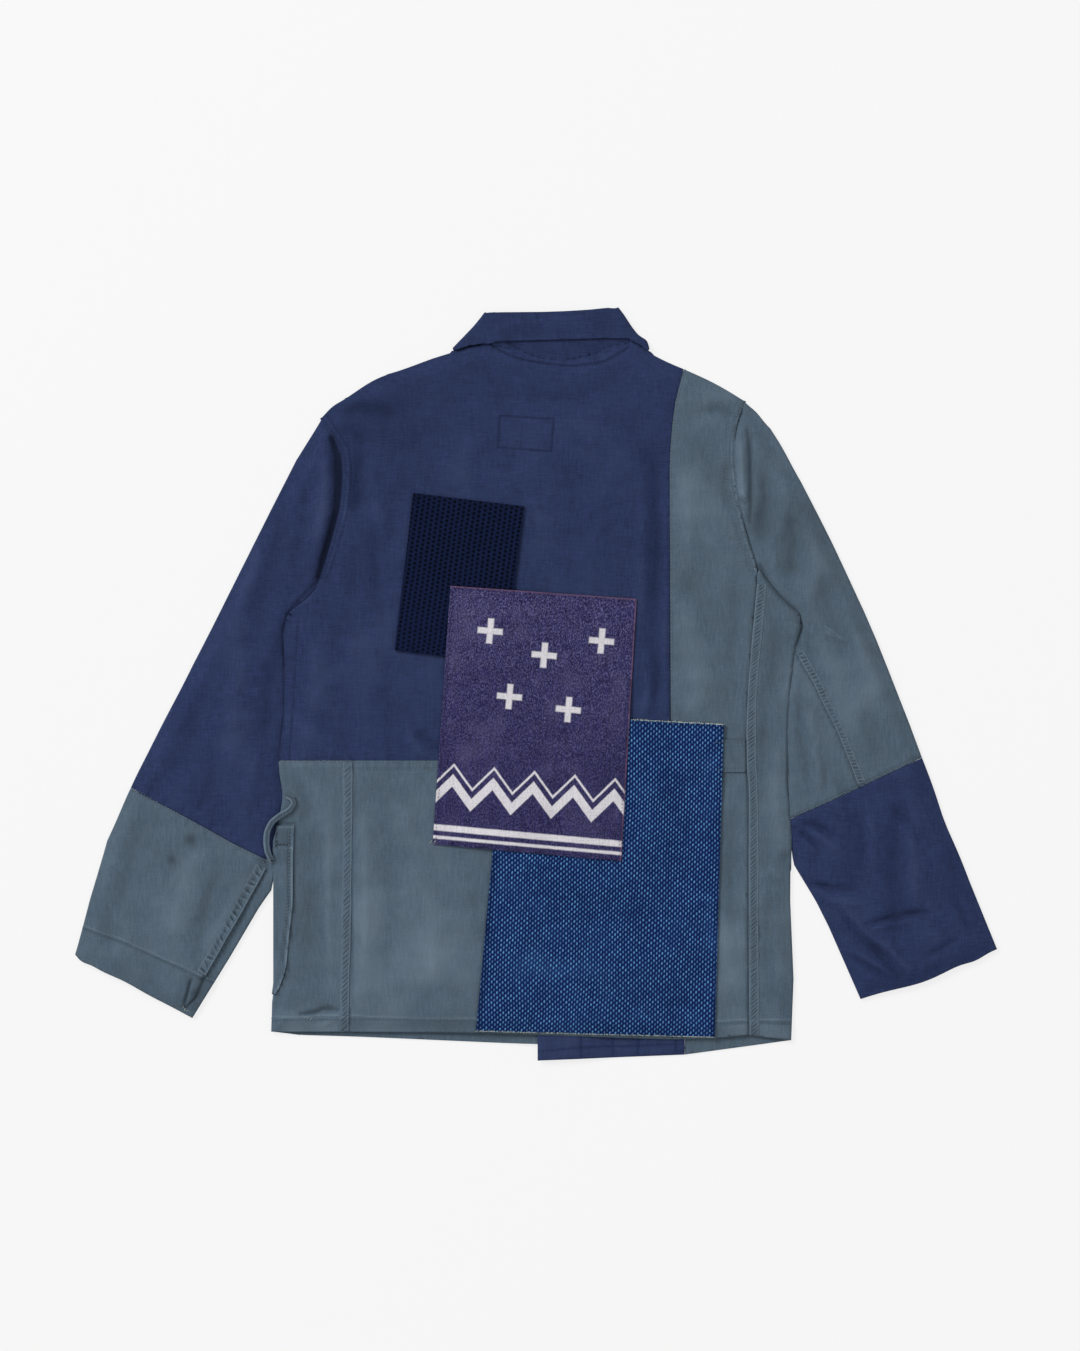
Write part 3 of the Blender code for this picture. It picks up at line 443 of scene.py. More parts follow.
# Cloth pieces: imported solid, material, flat width and length, flat area, held, relief, lies on
PIECES = [
    ("front_left_upper", "grey", 310, 440, 0.108, "laid", "front", ()),
    ("front_left_lower", "grey", 400, 295, 0.112, "folded", "side", ()),
    ("front_right_centre", "navy", 155, 745, 0.107, "laid", "front", ("front_left_lower_cloth",)),
    ("front_right_side", "grey", 165, 712, 0.087, "folded", "side", ()),
    ("back_navy", "navy", 430, 440, 0.155, "laid", "back", ("front_left_upper_cloth",)),
    ("back_grey_left", "grey", 342, 290, 0.0966, "laid", "back", ("front_left_lower_cloth",)),
    ("back_grey_right", "grey", 100, 698, 0.0527, "laid", "back", ("front_right_side_cloth",)),
    ("sleeve_left_upper", "navy", 360, 460, 0.0787, "folded", "left_sleeve", ()),
    ("sleeve_left_lower", "grey", 285, 235, 0.0566, "folded", "left_sleeve", ()),
    ("sleeve_right_upper", "grey", 350, 435, 0.0707, "folded", "right_sleeve", ()),
    ("sleeve_right_lower", "navy", 330, 250, 0.0645, "folded", "right_sleeve", ()),
    ("collar_stand", "navy", 360, 36, 0.0107, "folded", "collar", ("front_left_upper_cloth",)),
    ("collar_fall", "navy", 440, 66, 0.0191, "folded", "collar", ("collar_stand_cloth",)),
    ("side_tab", "grey", 35, 34, None, "laid", "back", ("back_grey_right_cloth",)),
    ("side_pocket", "grey", 70, 176, 0.0117, "folded", "side", ("front_left_lower_cloth",)),
    ("patch_knit", "knit", 117, 166, None, "laid", "back", ("back_navy_cloth",)),
    ("patch_woven", "woven", 235, 334, None, "laid", "back", ("back_grey_right_cloth",)),
    ("patch_purple", "purple", 196, 272, None, "laid", "back", ("patch_woven_cloth",)),
]


# ---------------------------------------------------------------- settings in the sidebar


def length_setting(name, description, default, **limits):
    return bpy.props.FloatProperty(
        name=name, description=description, default=default, unit="LENGTH", **limits)


def colour_setting(name, description, default):
    return bpy.props.FloatVectorProperty(
        name=name, description=description, default=linear(default), subtype="COLOR", size=3)


class JacketSizes(bpy.types.PropertyGroup):
    cell: length_setting("Cloth cell", "Size of the grid that carries the folds", 0.003, min=0.0015)
    fold_height: bpy.props.FloatProperty(
        name="Fold height", description="How strongly the soft folds stand out",
        default=1.0, min=0.0, max=1.5, subtype="FACTOR")
    stitch_length: length_setting("Stitch length", "Visible length of one topstitch", 0.0024)
    stitch_pitch: length_setting("Stitch pitch", "From one topstitch to the next", 0.0035)
    thread: length_setting("Thread", "Thickness of the sewing thread", 0.0006)


class JacketColours(bpy.types.PropertyGroup):
    navy: colour_setting("Navy drill", "Washed navy cotton", "#2b375b")
    grey: colour_setting("Grey moleskin", "Faded blue-grey cotton", "#536473")
    knit: colour_setting("Knit", "Blue-black cotton knit", "#0f1834")
    purple: colour_setting("Purple slub", "Faded purple cotton", "#292652")
    ink: colour_setting("Resist pattern", "Undyed pattern on the purple cloth", "#e4e1e6")
    indigo: colour_setting("Indigo ground", "Ground of the running-stitch weave", "#061a50")
    dash: colour_setting("Weave dashes", "Light blue floats on the indigo", "#6fb0e4")


# ---------------------------------------------------------------- node materials


class Wire:
    """A node's output in a reckoning: each operation on it adds a math node."""

    def __init__(self, tree, socket):
        self.tree = tree
        self.socket = socket

    def __add__(self, other):
        return reckon("ADD", self, other)

    def __sub__(self, other):
        return reckon("SUBTRACT", self, other)

    def __rsub__(self, other):
        return reckon("SUBTRACT", other, self)

    def __mul__(self, other):
        return reckon("MULTIPLY", self, other)

    def __truediv__(self, other):
        return reckon("DIVIDE", self, other)

    def __pow__(self, other):
        return reckon("POWER", self, other)

    def __abs__(self):
        return reckon("ABSOLUTE", self)


def add(tree, kind, inputs=None, **settings):
    """Add a node with its settings, and set or link its inputs."""
    made = tree.nodes.new(kind)
    for key, value in settings.items():
        setattr(made, key, value)
    for key, value in (inputs or {}).items():
        if isinstance(value, Wire):
            tree.links.new(value.socket, made.inputs[key])
        else:
            made.inputs[key].default_value = value
    return made


def wire(tree, kind, inputs=None, output=0, **settings):
    return Wire(tree, add(tree, kind, inputs, **settings).outputs[output])


def reckon(operation, *values):
    """A math node on wires and numbers."""
    tree = next(v.tree for v in values if isinstance(v, Wire))
    return wire(tree, "ShaderNodeMath", dict(enumerate(values)), operation=operation)


def spread(value, low, high):
    """Stretch a value between low and high to 0..1."""
    ends = {"Value": value, "From Min": low, "From Max": high}
    return wire(value.tree, "ShaderNodeMapRange", ends)


def shade(colour, share):
    """A colour made lighter (share above 1) or darker, kept in range."""
    return tuple(min(1.0, c * share) for c in colour)


def oval(du, dv, half_u, half_v):
    """1 in the middle of an oval, falling to 0 at its rim."""
    rim = abs(du / half_u) ** 2.0 + abs(dv / half_v) ** 2.0
    return reckon("MAXIMUM", 1.0 - rim, 0.0)


def bar(value, middle, half, soft=0.7):
    """1 where a value lies within half of the middle, with a soft edge, in millimetres."""
    return 1.0 - spread(abs(value - middle), half - soft, half + soft)


class Surface:
    """A material on its way: its nodes, its shader and its Object coordinates."""

    def __init__(self, name, roughness=0.95, sheen=0.0, gloss=0.12):
        self.material = bpy.data.materials.new(name)
        self.material.use_nodes = True
        self.tree = self.material.node_tree
        self.shader = self.tree.nodes["Principled BSDF"]
        for key, value in (("Roughness", roughness), ("Specular IOR Level", gloss),
                           ("Sheen Weight", sheen), ("Sheen Roughness", 0.5)):
            self.shader.inputs[key].default_value = value
        self.place = self.wire("ShaderNodeTexCoord", output="Object")

    def wire(self, kind, inputs=None, output=0, **settings):
        return wire(self.tree, kind, inputs, output, **settings)

    def attribute(self, name):
        return self.wire("ShaderNodeAttribute", output="Fac", attribute_name=name)

    def blend(self, share, a, b):
        a, b = ((*colour, 1.0) if isinstance(colour, tuple) else colour for colour in (a, b))
        return self.wire("ShaderNodeMix", {0: share, 6: a, 7: b}, 2, data_type="RGBA")

    def noise(self, x, y, detail=2.0, low=0.3, high=0.7):
        """Noise in streaks of x by y millimetres, stretched from low and high to 0..1."""
        scale = (1 / (x * MM), 1 / (y * MM), 1 / (min(x, y) * MM))
        mapped = self.wire("ShaderNodeMapping", {"Vector": self.place, "Scale": scale})
        streaks = {"Vector": mapped, "Scale": 1.0, "Detail": detail}
        return spread(self.wire("ShaderNodeTexNoise", streaks, "Fac"), low, high)

    def in_patch(self, corners):
        """Object coordinates turned into a patch's own, in millimetres from its lower left."""
        (x0, y0), (x1, y1) = corners[3], corners[2]
        return self.wire("ShaderNodeMapping", {
            "Vector": self.place, "Location": (x0 * MM, y0 * MM, 0),
            "Rotation": (0, 0, math.atan2(y1 - y0, x1 - x0)), "Scale": (MM, MM, MM)},
            vector_type="TEXTURE")

    def wobbled(self, vector, size, reach):
        """Coordinates in millimetres pushed about by slow noise, so that rows aren't ruled."""
        def change(operation, a, key, b):
            return self.wire("ShaderNodeVectorMath", {0: a, key: b}, operation=operation)

        slow = {"Vector": change("SCALE", vector, 3, 1 / size), "Scale": 1.0, "Detail": 2.0}
        push = change("SUBTRACT", self.wire("ShaderNodeTexNoise", slow, "Color"), 1, (0.5, 0.5, 0.5))
        return change("ADD", vector, 1, change("SCALE", push, 3, reach * 2))

    def parts(self, vector):
        apart = add(self.tree, "ShaderNodeSeparateXYZ", {0: vector})
        return [Wire(self.tree, apart.outputs[k]) for k in (0, 1)]

    def staggered(self, vector, degrees, across, down):
        """A turned half-drop grid: offset from a cell's middle each way, and its number."""
        turn = {"Vector": vector, "Rotation": (0, 0, math.radians(degrees))}
        x, y = self.parts(self.wire("ShaderNodeMapping", turn))
        v = y / down
        row = reckon("FLOOR", v)
        u = x / across + reckon("MODULO", abs(row), 2.0) * 0.5
        column = reckon("FLOOR", u)
        number = self.wire("ShaderNodeCombineXYZ", {0: column, 1: row})
        return u - column - 0.5, v - row - 0.5, number

    def toned(self, colour, faded, soiled_and_shaded):
        """Make a colour paler or darker by the cloth's tone attribute, which holds painted light and
        shade as well as paler and darker places.
        """
        tone = self.attribute("tone")
        pale = reckon("MAXIMUM", tone, 0.0)
        dark = reckon("MAXIMUM", tone * -1.0, 0.0)
        return self.blend(dark, self.blend(pale, colour, faded), soiled_and_shaded)

    def finish(self, colour, height=None, strength=0.0, depth=0.0):
        """Give the shader its colour and any bump, and hand the material over."""
        self.tree.links.new(colour.socket, self.shader.inputs["Base Color"])
        if height:
            bump = {"Height": height, "Strength": strength, "Distance": depth}
            bumped = self.wire("ShaderNodeBump", bump)
            self.tree.links.new(bumped.socket, self.shader.inputs["Normal"])
        return self.material


def washed_cotton(name, colour, faded, rib, depth):
    """Piece-dyed cotton, washed and worn: matt, a little uneven in its yarns and its dye.

    rib is the share of lengthwise ribs over crosswise yarns: even on plain-woven drill,
    mostly lengthwise on moleskin. depth is how far the yarns differ. Yarns of 0.5 mm are
    drawn 1.6 mm wide to show.
    """
    cotton = Surface(name, sheen=0.02)
    warp, weft = cotton.noise(1.7, 13), cotton.noise(13, 1.6)
    yarns = cotton.wire("ShaderNodeMix", {0: rib, 2: weft, 3: warp})
    dye = cotton.noise(38, 46, 3.0, 0.35, 0.65)
    grain = cotton.noise(1.3, 1.3, 1.0, 0.25, 0.75)
    hue = cotton.noise(15, 21, 3.0, 0.35, 0.65)
    warm = (colour[0] * 1.12, colour[1], colour[2] * 0.94)
    look = cotton.blend(yarns, shade(colour, 1 - depth), shade(colour, 1 + depth))
    look = cotton.blend(hue * 0.38, look, warm)
    look = cotton.blend(dye * 0.24, look, shade(colour, 1.26))
    look = cotton.blend(grain * 0.42, look, shade(colour, 0.6))
    look = cotton.toned(look, faded, shade(colour, 0.3))
    return cotton.finish(look, yarns + grain * 0.6, 0.45, 0.0003)


def mesh_knit(colour):
    """Ribbed cotton mesh knit, blue-black: eyelets every 4.6 mm down wales 5.4 mm apart."""
    knit = Surface("Ribbed mesh knit", gloss=0.06)
    du, dv, _ = knit.staggered(knit.wobbled(knit.in_patch(KNIT), 40, 1.2), 91.5, 4.62, 5.36)
    eyelet = reckon("MINIMUM", oval(du, dv, 0.36, 0.30) * 1.8, 1.0)
    fuzz = knit.noise(1.6, 3.0)
    look = knit.blend(fuzz, shade(colour, 0.85), shade(colour, 1.35))
    # The eyelets aren't cut through: they are painted near black, as shade in the holes
    look = knit.blend(eyelet, look, shade(colour, 0.16))
    look = knit.toned(look, shade(colour, 1.8), shade(colour, 0.4))
    return knit.finish(look, fuzz * 0.25 - eyelet, 0.8, 0.0012)


def running_weave(ground, dash, cream):
    """Indigo cloth covered in light floats 3.6 mm long, in columns 2.9 mm apart, half-drop."""
    weave = Surface("Running-stitch weave")
    own = weave.wobbled(weave.wobbled(weave.in_patch(WOVEN), 70, 3.0), 9, 0.5)
    du, dv, number = weave.staggered(own, 90, 5.2, 2.875)
    luck = weave.wire("ShaderNodeTexWhiteNoise", {"Vector": number}, "Value", noise_dimensions="2D")
    dashes = oval(du, dv + du * 0.16, 0.35, 0.36)
    cloud = weave.noise(34, 44, 3.0, 0.25, 0.75)
    strength = dashes ** 0.7 * (luck ** 1.2 * 0.52 + 0.36) * (cloud * 0.10 + 0.90)
    look = weave.blend(cloud, shade(ground, 0.94), shade(ground, 1.08))
    look = weave.blend(reckon("MINIMUM", strength, 1.0), look, dash)
    edge = 1.0 - spread(weave.attribute("fray") + weave.noise(2.2, 2.2) * 1.6, 1.1, 2.0)
    look = weave.blend(edge * 0.8, look, cream)
    look = weave.toned(look, linear("#3a62a0"), shade(ground, 0.5))
    return weave.finish(look, dashes, 0.8, 0.0010)


def slub_cotton(colour, ink, edge_colour):
    """Hand-loomed purple cotton with thick and thin yarns and an undyed resist pattern.

    The pattern is a plain one: a mountain zigzag with a thin line above and two bars
    below it, and woven-looking crosses scattered over the rest.
    """
    slub = Surface("Purple slub cotton", sheen=0.08)
    own = slub.in_patch(PURPLE)
    fine = slub.noise(1.15, 2.0, 3.0, 0.45, 0.70)
    warp = slub.noise(1.5, 16, low=0.32)
    weft = slub.noise(11, 1.4, low=0.35, high=0.75)
    speckle = fine * (spread(slub.parts(own)[1], 90, 250) * 0.4 + 0.5)
    look = slub.blend(warp, shade(colour, 0.62), shade(colour, 1.35))
    look = slub.blend(weft * 0.5, look, shade(colour, 0.45))
    look = slub.blend(speckle * 0.55, look, linear("#8b87bd"))

    across, up = slub.parts(slub.wobbled(own, 6, 0.35))
    line = up - reckon("PINGPONG", across + 6.0, 21.0) * 1.15
    shapes = [bar(line, 60, 1.6), bar(up, 18, 3.2), bar(up, 8, 1.6)]
    for x, y in ((40, 226), (98, 206), (156, 226), (66, 160), (128, 152)):
        for arm, thick in ((13, 3.1), (3.1, 13)):
            shapes.append(reckon("MINIMUM", bar(across, x, arm), bar(up, y, thick)))
    pattern = bar(line, 44, 6.5)
    for shape in shapes:
        pattern = reckon("MAXIMUM", pattern, shape)
    worn = 1.0 - fine ** 3.0 * 0.25
    look = slub.blend(pattern * worn, look, slub.blend(warp, shade(ink, 0.9), ink))
    edge = 1.0 - spread(slub.attribute("fray"), 0.5, 1.8)
    look = slub.blend(edge * 0.65, look, edge_colour)
    look = slub.toned(look, linear("#8a84ad"), shade(colour, 0.4))
    return slub.finish(look, warp + weft + fine, 0.55, 0.0005)


def sewing_thread(name, colour):
    """Spun polyester or cotton sewing thread: fine twisted fibres, a slight sheen."""
    spun = Surface(name, 0.7, 0.1)
    return spun.finish(spun.blend(spun.noise(1.2, 1.2), shade(colour, 0.75), shade(colour, 1.2)))


def moulded_horn(colour):
    """Moulded urea resin that imitates horn: dark, softly streaked, satin."""
    resin = Surface("Moulded horn resin", 0.38, gloss=0.5)
    return resin.finish(resin.blend(resin.noise(6, 1.5), shade(colour, 0.6), shade(colour, 2.2)))


THREADS = {
    "thread_navy": ("Navy thread", "#18213f"), "thread_grey": ("Grey thread", "#6d7e8a"),
    "thread_purple": ("Purple thread", "#35294f"), "thread_indigo": ("Indigo thread", "#0d1d42"),
    "thread_knit": ("Blue-black thread", "#0b1228"), "thread_cream": ("Cream cotton ends", "#dcdfd2"),
}
made_materials = {}


def make_material(key, c):
    """One of the jacket's materials by its short name, in the sidebar's colours."""
    if key in THREADS:
        name, colour = THREADS[key]
        return sewing_thread(name, linear(colour))
    if key == "navy":
        return washed_cotton("Washed navy drill", c["navy"], linear("#4a5678"), 0.5, 0.42)
    if key == "grey":
        return washed_cotton("Faded grey moleskin", c["grey"], linear("#8496a4"), 0.72, 0.22)
    if key == "knit":
        return mesh_knit(c["knit"])
    if key == "woven":
        return running_weave(c["indigo"], c["dash"], linear("#c9d6cc"))
    if key == "purple":
        return slub_cotton(c["purple"], c["ink"], linear("#7a5468"))
    return moulded_horn(linear("#252830"))


def cloth_material(scene, key):
    """A material, made when it is first asked for."""
    if key not in made_materials:
        colours = scene.jacket_colours
        made_materials[key] = make_material(
            key, {name: tuple(getattr(colours, name)) for name in JacketColours.__annotations__})
    return made_materials[key]


# ---------------------------------------------------------------- relief


def near(points, path, reach=None):
    """Each point's distance to a path, how far along it lies (0 to 1), and which side it is on.

    The side is 1 to the path's left and -1 to its right. Points out of reach are 999 away.
    """
    path = np.asarray(path, float)
    distance = np.full(len(points), 999.0)
    share = np.zeros(len(points))
    side = np.ones(len(points))
    chosen = slice(None)
    if reach is not None:
        close = (points > path.min(0) - reach) & (points < path.max(0) + reach)
        chosen = np.flatnonzero(close.all(1))
    local = points[chosen]
    best, part, hand = distance[chosen], share[chosen], side[chosen]
    lengths = np.hypot(*np.diff(path, axis=0).T)
    starts = np.concatenate([[0], np.cumsum(lengths)])
    for k, length in enumerate(lengths):
        step = (path[k + 1] - path[k]) / length
        offset = local - path[k]
        t = np.clip(offset @ step, 0, length)
        d = np.hypot(*(offset - t[:, None] * step).T)
        closer = d < best
        best = np.where(closer, d, best)
        part = np.where(closer, (starts[k] + t) / starts[-1], part)
        left = step[0] * offset[:, 1] > step[1] * offset[:, 0]
        hand = np.where(closer, np.where(left, 1, -1), hand)
    distance[chosen], share[chosen], side[chosen] = best, part, hand
    return distance, share, side


def away_from(points, place):
    return np.hypot(*(points - place).T)


def bell(value, width):
    """1 where a value is nothing, falling off over a width to either side."""
    return np.exp(-(value / width) ** 2)


def smooth(value, low, high):
    t = np.clip((value - low) / (high - low), 0, 1)
    return t * t * (3 - 2 * t)


def upper_side(levels):
    """0 on the lower layer of a tube of cloth and 1 on its upper layer."""
    return smooth(levels, *TUBE_STEP)


def inside(points, outline):
    """How far each point lies inside an outline; 0 outside it."""
    distance = near(points, outline + outline[:1])[0]
    x, y = points.T
    crossings = np.zeros(len(points), bool)
    for (x0, y0), (x1, y1) in zip(outline, outline[1:] + outline[:1]):
        if y0 != y1:
            between = (y0 > y) != (y1 > y)
            crossings ^= between & (x < x0 + (x1 - x0) * (y - y0) / (y1 - y0))
    return np.where(crossings, distance, 0)


def ripples(points, size, seed, waves=9):
    """Gentle uneven waves of about one size, between -1 and 1."""
    rng = np.random.default_rng(seed)
    total = np.zeros(len(points))
    for _ in range(waves):
        angle = rng.uniform(0, math.pi)
        wave = size * rng.uniform(0.6, 1.6)
        step = np.array([math.cos(angle), math.sin(angle)]) * 2 * math.pi / wave
        total += np.sin(points @ step + rng.uniform(0, 2 * math.pi))
    return total / waves * 1.8


def folds(points, table):
    """Sum of soft troughs and ridges along their paths."""
    height = np.zeros(len(points))
    for path, half, rise in table:
        distance, share, _ = near(points, path, 3 * half)
        ends = smooth(share, 0, 0.25) * smooth(1 - share, 0, 0.25)
        height += rise * np.exp(-(distance / half) ** 1.5) * (0.25 + 0.75 * ends)
    return height


def seams(points, table):
    """Valleys along plain seams, lightly puckered by their stitches."""
    height = np.zeros(len(points))
    for path, half, depth in table:
        distance, share, _ = near(points, path, 14)
        height -= depth * bell(distance, half)
        length = np.hypot(*np.diff(np.asarray(path, float), axis=0).T).sum()
        phase = share * length / 9.5 + 0.7 * np.sin(share * length / 31)
        height += 0.22 * np.sin(2 * math.pi * phase) * bell(distance - 5, 5)
    return height


def grooves(points):
    """The cloth drawn down under every row of topstitching."""
    height = np.zeros(len(points))
    for _, path, offset in TOPSTITCHES:
        distance, _, side = near(points, path, abs(offset) + 4)
        height -= 0.5 * bell(distance * side - offset, 1.1)
    return height


def beside_fells(points):
    """1 along the line where each felled seam's folded edge meets the cloth."""
    line = np.zeros(len(points))
    for _, path, width, fold, _ in FELLED:
        distance, _, side = near(points, [tuple(p) for p in eased(path)], width)
        line = np.maximum(line, bell(distance * side * fold - width / 2 - 0.6, 1.1))
    return line


def hem_rise(points, path, open_ends=True):
    """The doubled cloth below a hem's stitch line, as far as the line runs."""
    distance = near(points, path, 40)[0]
    xs, ys = np.asarray(path, float).T
    below = np.where(points[:, 1] < np.interp(points[:, 0], xs, ys), distance, -distance)
    rise = HEM_RISE * smooth(below, -0.8, 1.4) * (distance < 39)
    if open_ends:
        x = points[:, 0]
        rise = rise * (smooth(x, xs[0] - 14, xs[0] - 2) * smooth(-x, -xs[-1] - 14, -xs[-1] - 2))
    return rise


def cover(points):
    """0 at the jacket's outline, rising to 1 where its layers lie loose on each other."""
    return smooth(inside(points, JACKET_OUTLINE), 0, 17)


def loft(points, table, waves):
    """Height of the loose upper layer: its soft folds and its waves."""
    height = LOFT + 2.3 * folds(points, table)
    for rise, size, seed in waves:
        height += rise * ripples(points, size, seed)
    return height


def sewing(points, table):
    """How the seams and the stitching draw the cloth down."""
    return seams(points, table) + grooves(points) - 0.5 * beside_fells(points)


def back_relief(points):
    """Lift of the upper side of the body above its flat form."""
    height = loft(points, BODY_FOLDS, ((0.8, 62, 3), (0.26, 17, 8)))
    height = np.maximum(height, 0) * cover(points)
    height += sewing(points, SEAMS)
    for contact in (LEFT_CONTACT[:UNDERARM], RIGHT_CONTACT[:UNDERARM]):
        height += 0.5 * bell(near(points, contact, 12)[0] - 4, 3.5)
    for line in HEM_LINES:
        height += hem_rise(points, line)
    return height


def sleeve_relief(points, table, contact, seed):
    """Lift of the upper side of a sleeve, which dips where it is sewn to the body."""
    height = loft(points, table, ((0.8, 55, seed), (0.26, 16, seed + 1)))
    height -= 1.9 * bell(near(points, contact, 16)[0], 5)
    height = np.maximum(height, -0.2) * cover(points)
    height += sewing(points, SLEEVE_SEAMS)
    if contact is LEFT_CONTACT:
        height += hem_rise(points, CUFF_LINE, open_ends=False)
    return height


def relief(kind, points, levels):
    """Lift of each point of a piece. levels are its heights over the surface, in mm."""
    if kind == "back":
        return back_relief(points)
    if kind == "loop":
        return back_relief(points) + 0.6
    if kind == "front":
        hollow = np.maximum(folds(points, FRONT_FOLDS), 0)
        hollow = hollow * smooth(inside(points, JACKET_OUTLINE), 0, 30)
        fullness = smooth(near(points, FRONT_HEM, 40)[0], 0, 4) * smooth(-points[:, 1], *HEM_BAND)
        hem = 1.0 * fullness + 1.7 * folds(points, HEM_CREASES)
        return 0.6 * hollow + hem * smooth(levels, *HEM_STEP)
    if kind == "side":
        wrapped = np.abs(points[:, 0]) > SIDE_START
        return back_relief(points) * (smooth(levels, *SIDE_STEP) * wrapped)
    if kind == "collar":
        hang = 1.1 * smooth(FALL_EDGE - points[:, 1], 0, 10) * smooth(levels, *FALL_STEP)
        waves = 0.6 * ripples(points, 38, 21) + 0.5
        soft = waves * smooth(points[:, 1], *NECK_BAND) + folds(points, COLLAR_FOLDS)
        return smooth(levels, *STAND_STEP) * soft + hang
    upper = upper_side(levels)
    if kind == "left_sleeve":
        return sleeve_relief(points, LEFT_SLEEVE_FOLDS, LEFT_CONTACT, 5) * upper
    return sleeve_relief(points, RIGHT_SLEEVE_FOLDS, RIGHT_CONTACT, 11) * upper


def fit_together(kind, points, levels):
    """Draw the sleeves in under the body's edges, and close the other joins between pieces."""
    for sleeve, contact, table, underarm, way in JOINS:
        if kind == sleeve:
            # The sleeve's edge goes under the body
            distance = near(points, contact, 46)[0]
            drawn = np.interp(points[:, 1], *zip(*table)) * np.clip(1 - distance / 45, 0, 1)
            corner = bell(away_from(points, underarm), 14)
            points[:, 0] += way * drawn
            points[:, 1] -= 1.6 * corner
        elif kind in ("back", "side"):
            # The body's edge comes over it, furthest at the underarm
            distance = near(points, contact, 4)[0]
            corner = bell(away_from(points, underarm), 16)
            edge = (distance < 1.3 + 1.5 * corner) & (levels > UPPER)
            points[:, 0] -= way * (0.9 + 2.0 * corner) * edge
            points[:, 1] += 2.4 * corner * edge
    if kind in ("back", "collar"):
        # The neck edge goes up under the stand, and the stand's edge comes down over it
        edge = NECK if kind == "collar" else [(-87, 345.5), *NECK, (119, 343.5)]
        distance = near(points, edge, 3)[0]
        points[:, 1] += (1.7 if kind == "back" else -1.3) * (distance < 1.4) * (levels > UPPER)
    if kind in ("back", "front"):
        # The waist seam on the left is sewn shut in the back and in the front below it
        away = points[:, 1] - WAIST
        sewn = (np.abs(away) < 0.3) & (points[:, 0] < -100)
        points[sewn, 1] -= 1.15 * away[sewn]
    if kind == "collar":
        # The collar's fold stands a little fuller than its flat form
        points[:, 1] += 2.0 * smooth(points[:, 1], *FOLD_BAND)
    if kind == "front":
        # The overlap's cut end at the hem is turned in
        points[:, 0] += 1.0 * (
            (np.abs(points[:, 0] - OVERLAP_END) < 0.6) & (points[:, 1] < OVERLAP_HEM))


def nudge(kind, points):
    """Ease the outline: sewn cloth lies in slightly fuller curves than its flat form."""
    moved = points.copy()
    for only, x, y, radius, dx, dy in NUDGES:
        if only in ("", kind):
            moved += bell(away_from(points, (x, y)), radius)[:, None] * (dx, dy)
    return moved


def tones(points, levels, kind):
    """Tone of the cloth at each point, from -1 to 1: paler and darker places, and painted light and
    shade on its folds, seams and stitching.
    """
    tone = 0.06 * ripples(points, 90, 31) + 0.05 * ripples(points, 28, 33)
    if kind == "collar":
        # The whole collar is a little darker, and the foot of its stand under the fall is given painted
        # shade
        tone -= 0.10 + 0.32 * smooth(STAND_FOOT - points[:, 1], 0, 6) * (levels < UNDER_FALL)
    if kind == "loop":
        distance, _, side = near(points, LOOP)
        offset = distance * side
        tone += 0.5 * bell(offset + 2.6, 0.8) - 0.7 * bell(offset - 0.5, 0.9)
    if kind == "front":
        tone -= 0.2 * bell(near(points, HEM_SHADE, 30)[0], 9)
        # Painted shade in the hem's creases and along its stitch line, on a tone a little paler all
        # over
        return np.clip(tone + 0.12 + 0.9 * folds(points, HEM_CREASES), -1, 1)
    upper = upper_side(levels)
    for x, y, radius, amount in MARKS:
        tone += amount * bell(away_from(points, (x, y)), radius) * upper
    # Pale and dark lines, some of them painted light, shade and shadow
    for path, half, amount in PALE_AND_DARK_LINES:
        tone += amount * bell(near(points, path, 3 * half)[0], half) * upper
    # Painted shade in the grooves under the topstitching and painted shadow beside each felled seam's
    # folded edge
    tone += 0.45 * (grooves(points) - beside_fells(points)) * upper
    table = {"left_sleeve": LEFT_SLEEVE_FOLDS, "right_sleeve": RIGHT_SLEEVE_FOLDS,
             "collar": COLLAR_FOLDS}.get(kind, BODY_FOLDS)
    # Painted light on the ridges of the folds and painted shade in their troughs
    tone += 0.19 * folds(points, table) * upper
    return np.clip(tone, -1, 1)


# ---------------------------------------------------------------- cloth meshes

surfaces = {}


def cut_cells(bm, faces, axis, planes, size):
    """Cut faces by parallel planes, halving the set each time to keep it quick."""
    if not planes or not faces:
        return
    middle = len(planes) // 2
    at = planes[middle] * size
    point = [0.0, 0.0, 0.0]
    normal = [0.0, 0.0, 0.0]
    point[axis] = at
    normal[axis] = 1.0
    edges = {e for f in faces for e in f.edges}
    verts = {v for f in faces for v in f.verts}
    cut = bmesh.ops.bisect_plane(
        bm, geom=[*faces, *edges, *verts], dist=MERGE, plane_co=point, plane_no=normal)
    low = []
    high = []
    for item in cut["geom"]:
        if isinstance(item, bmesh.types.BMFace):
            (low if item.calc_center_median()[axis] < at else high).append(item)
    cut_cells(bm, low, axis, planes[:middle], size)
    cut_cells(bm, high, axis, planes[middle + 1:], size)


def cut_grid(bm, faces, size):
    """Cut faces into square cells of one size, on planes that every piece shares."""
    for axis in (0, 1):
        ends = [v.co[axis] for f in faces for v in f.verts]
        planes = list(range(math.ceil(min(ends) / size), math.floor(max(ends) / size) + 1))
        before = set(bm.faces) - set(faces)
        cut_cells(bm, faces, axis, planes, size)
        faces = [f for f in bm.faces if f not in before]


